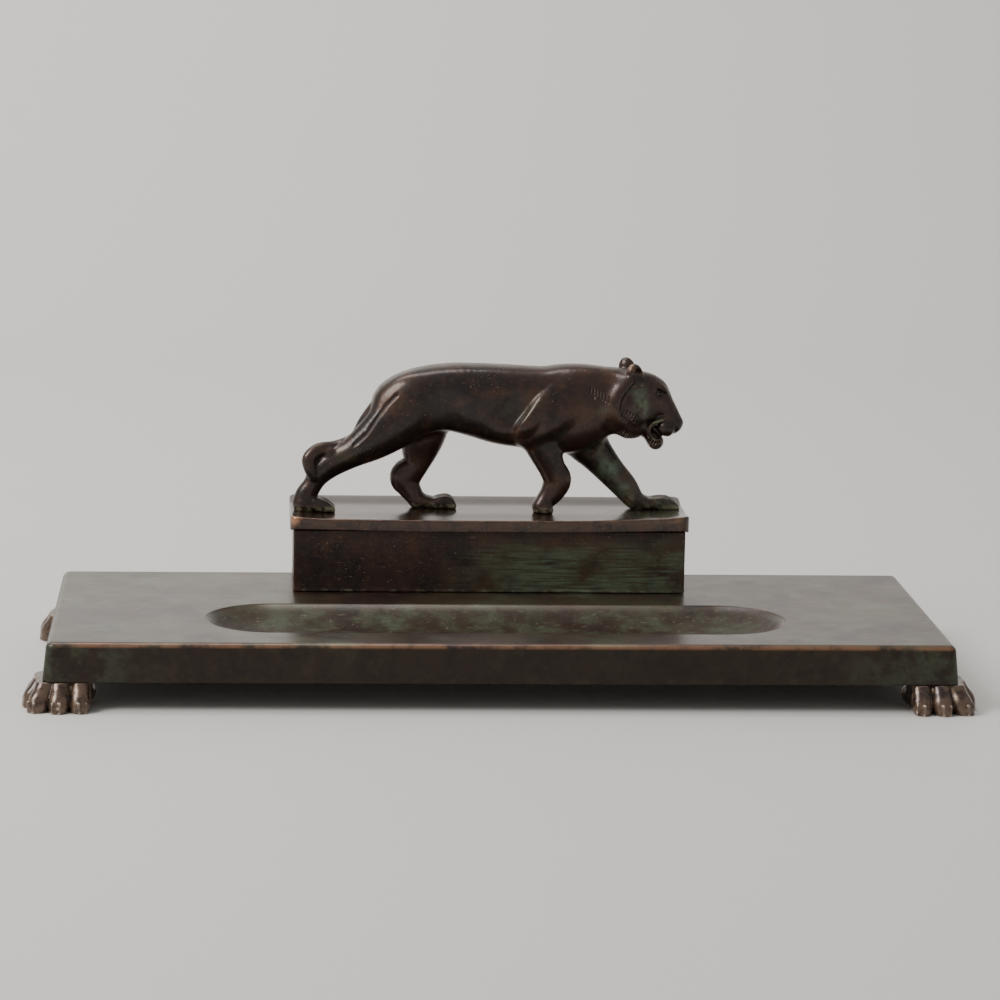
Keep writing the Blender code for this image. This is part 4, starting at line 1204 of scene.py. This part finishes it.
def tray_look():
    look = patina("patina_tray", 0.24, 0.9)
    look.layer(OLIVE, 0.8, look.clouds(0.42, 0.60, 45, 8, offset=4))
    look.layer(VERDIGRIS, 0.35, look.clouds(0.52, 0.68, 26, 8, offset=11))
    # Upright faces: darkened almost to black as painted shade, standing in for the dark surroundings they
    # reflect; the olive and dark brown patches on them are patina
    side = look.facing("Z", 0.75, 0.45)
    look.layer((0.022, 0.014, 0.008), 0.85, side)
    look.layer(OLIVE, 0.3, side, look.clouds(0.50, 0.66, 6, 8, offset=6))
    look.layer(DARK_BROWN, 0.8, side, look.clouds(0.50, 0.64, 7, 8, offset=8))
    ends = look.ramp(look.math("ABSOLUTE", look.axis("X")), 120, 185)
    moss = look.times(side, ends, look.clouds(0.42, 0.62, 8, 8, offset=18))
    look.layer(VERDIGRIS, 0.35, moss)
    deep = look.times(look.ramp(look.axis("Z"), 28.2, 25.5), look.ramp(look.axis("Y"), -53.5, -52.0),
                      look.ramp(look.axis("Y"), 5.4, 4.0))
    look.layer(VERDIGRIS, 0.45, deep, look.clouds(0.40, 0.64, 11, 9, offset=3))
    look.layer(BROWN, 0.7, deep, look.clouds(0.42, 0.62, 9, 9, offset=13))
    # Upright faces and the tray floor get a matte finish and a further darkening: painted shade on the
    # upright faces, a darker tone in the tray floor
    dull_and_shaded = look.math("MAXIMUM", side, deep)
    look.layer((0.014, 0.009, 0.006), 0.4, dull_and_shaded)
    scratch = look.clouds(0.63, 0.69, 0.7, 4, stretch=(0.13, 1, 1), offset=1)
    look.layer(PALE_SPECK, 0.6, deep, scratch)
    cross = look.clouds(0.66, 0.72, 0.8, 4, stretch=(1, 0.25, 1), offset=31)
    look.layer(PALE_SPECK, 0.5, deep, cross)
    fleck = look.clouds(0.66, 0.71, 1.4, 4, stretch=(1, 0.2, 1), offset=21)
    look.layer(PALE_SPECK, 0.6, deep, fleck)
    front = look.times(look.ramp(look.axis("Y"), -71.5, -74.2), look.ramp(look.axis("Z"), 26.0, 27.2))
    look.layer(COPPER, 0.4, front, look.clouds(0.34, 0.56, 12, 7, offset=2))
    look.rough(dull_and_shaded, look.rough(look.noise(14, 7, offset=2), 0.26, 0.46), 0.52)
    look.set("Coat Roughness", 0.26)
    look.vary("Coat Weight", dull_and_shaded, 0.50, 0.05)
    look.vary("Metallic", dull_and_shaded, 0.5, 0.20)
    look.vary("Specular IOR Level", dull_and_shaded, 0.5, 0.3)
    return look.done()


def foot_look():
    look = patina("patina_feet", 0.28, 0.5)
    look.layer((0.135, 0.085, 0.055), 0.85, look.clouds(0.36, 0.56, 5, 7, offset=2))
    look.layer(DARK_BROWN, 1.0, look.edges(0.485, 0.44))
    # Pale colour on the convex toe ridges: a painted highlight
    look.layer((0.50, 0.42, 0.33), 0.7, look.edges(0.51, 0.57))
    return look.done()


def brass_look():
    look = Look("aged_brass", (0.13, 0.082, 0.038), 0.85, 0.48)
    look.layer((0.085, 0.052, 0.028), 1.0, look.clouds(0.40, 0.58, 6, 7))
    look.layer(VERDIGRIS, 0.5, look.clouds(0.60, 0.72, 3, 4, offset=4))
    look.layer((0.40, 0.27, 0.12), 0.5, look.edges(0.53, 0.60))
    look.rough(look.noise(4, 4, offset=2), 0.34, 0.58)
    look.bump(look.noise(0.8, 3), 0.02)
    return look.done()


def steel_look():
    look = Look("darkened_steel", (0.16, 0.15, 0.145), 0.95, 0.42)
    look.layer((0.10, 0.06, 0.04), 1.0, look.clouds(0.45, 0.65, 3, 5))
    look.layer((0.36, 0.34, 0.32), 1.0, look.edges(0.53, 0.60))
    look.rough(look.noise(2, 4), 0.32, 0.60)
    look.bump(look.noise(0.7, 3), 0.02)
    return look.done()


def glass_look():
    look = Look("well_glass", (0.82, 0.92, 0.88), 0.0, 0.03)
    look.set("Transmission Weight", 1.0)
    look.set("IOR", 1.5)
    look.bump(look.noise(14, 2), 0.08)
    ink = look.times(look.ramp(look.axis("Z"), 45.5, 37.5), look.clouds(0.30, 0.60, 7, 4))
    look.layer((0.03, 0.05, 0.12), 0.75, ink)
    return look.done()


def main():
    brass, steel, glass, feet = brass_look(), steel_look(), glass_look(), foot_look()
    for side in ("left", "right"):
        for node in (f"partition_{side}", f"hinge_{side}_box_leaf", f"hinge_{side}_lid_leaf"):
            worn_edges(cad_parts[node], brass)
        fine_pin(f"hinge_{side}_pin", steel)
        glass_well(f"glass_well_{side}", glass)
    for i in range(1, 5):
        fine_screw(f"box_screw_{i}", "base", steel)
        fine_screw(f"figure_screw_{i}", "lid", steel)
        fine_rivet(f"hinge_box_rivet_{i}", "base", brass)
        fine_rivet(f"hinge_lid_rivet_{i}", "lid", brass)
    for corner, sign_x, sign_y in CORNERS:
        paw_foot(corner, sign_x, sign_y, feet)
        fine_screw(f"foot_screw_{corner}", "base", steel)
    base_casting(tray_look())
    box_casting(box_look())
    lid_casting(lid_look())
    cat_figure(cat_look())
    add_floor()
    add_lights()
    add_camera()


main()
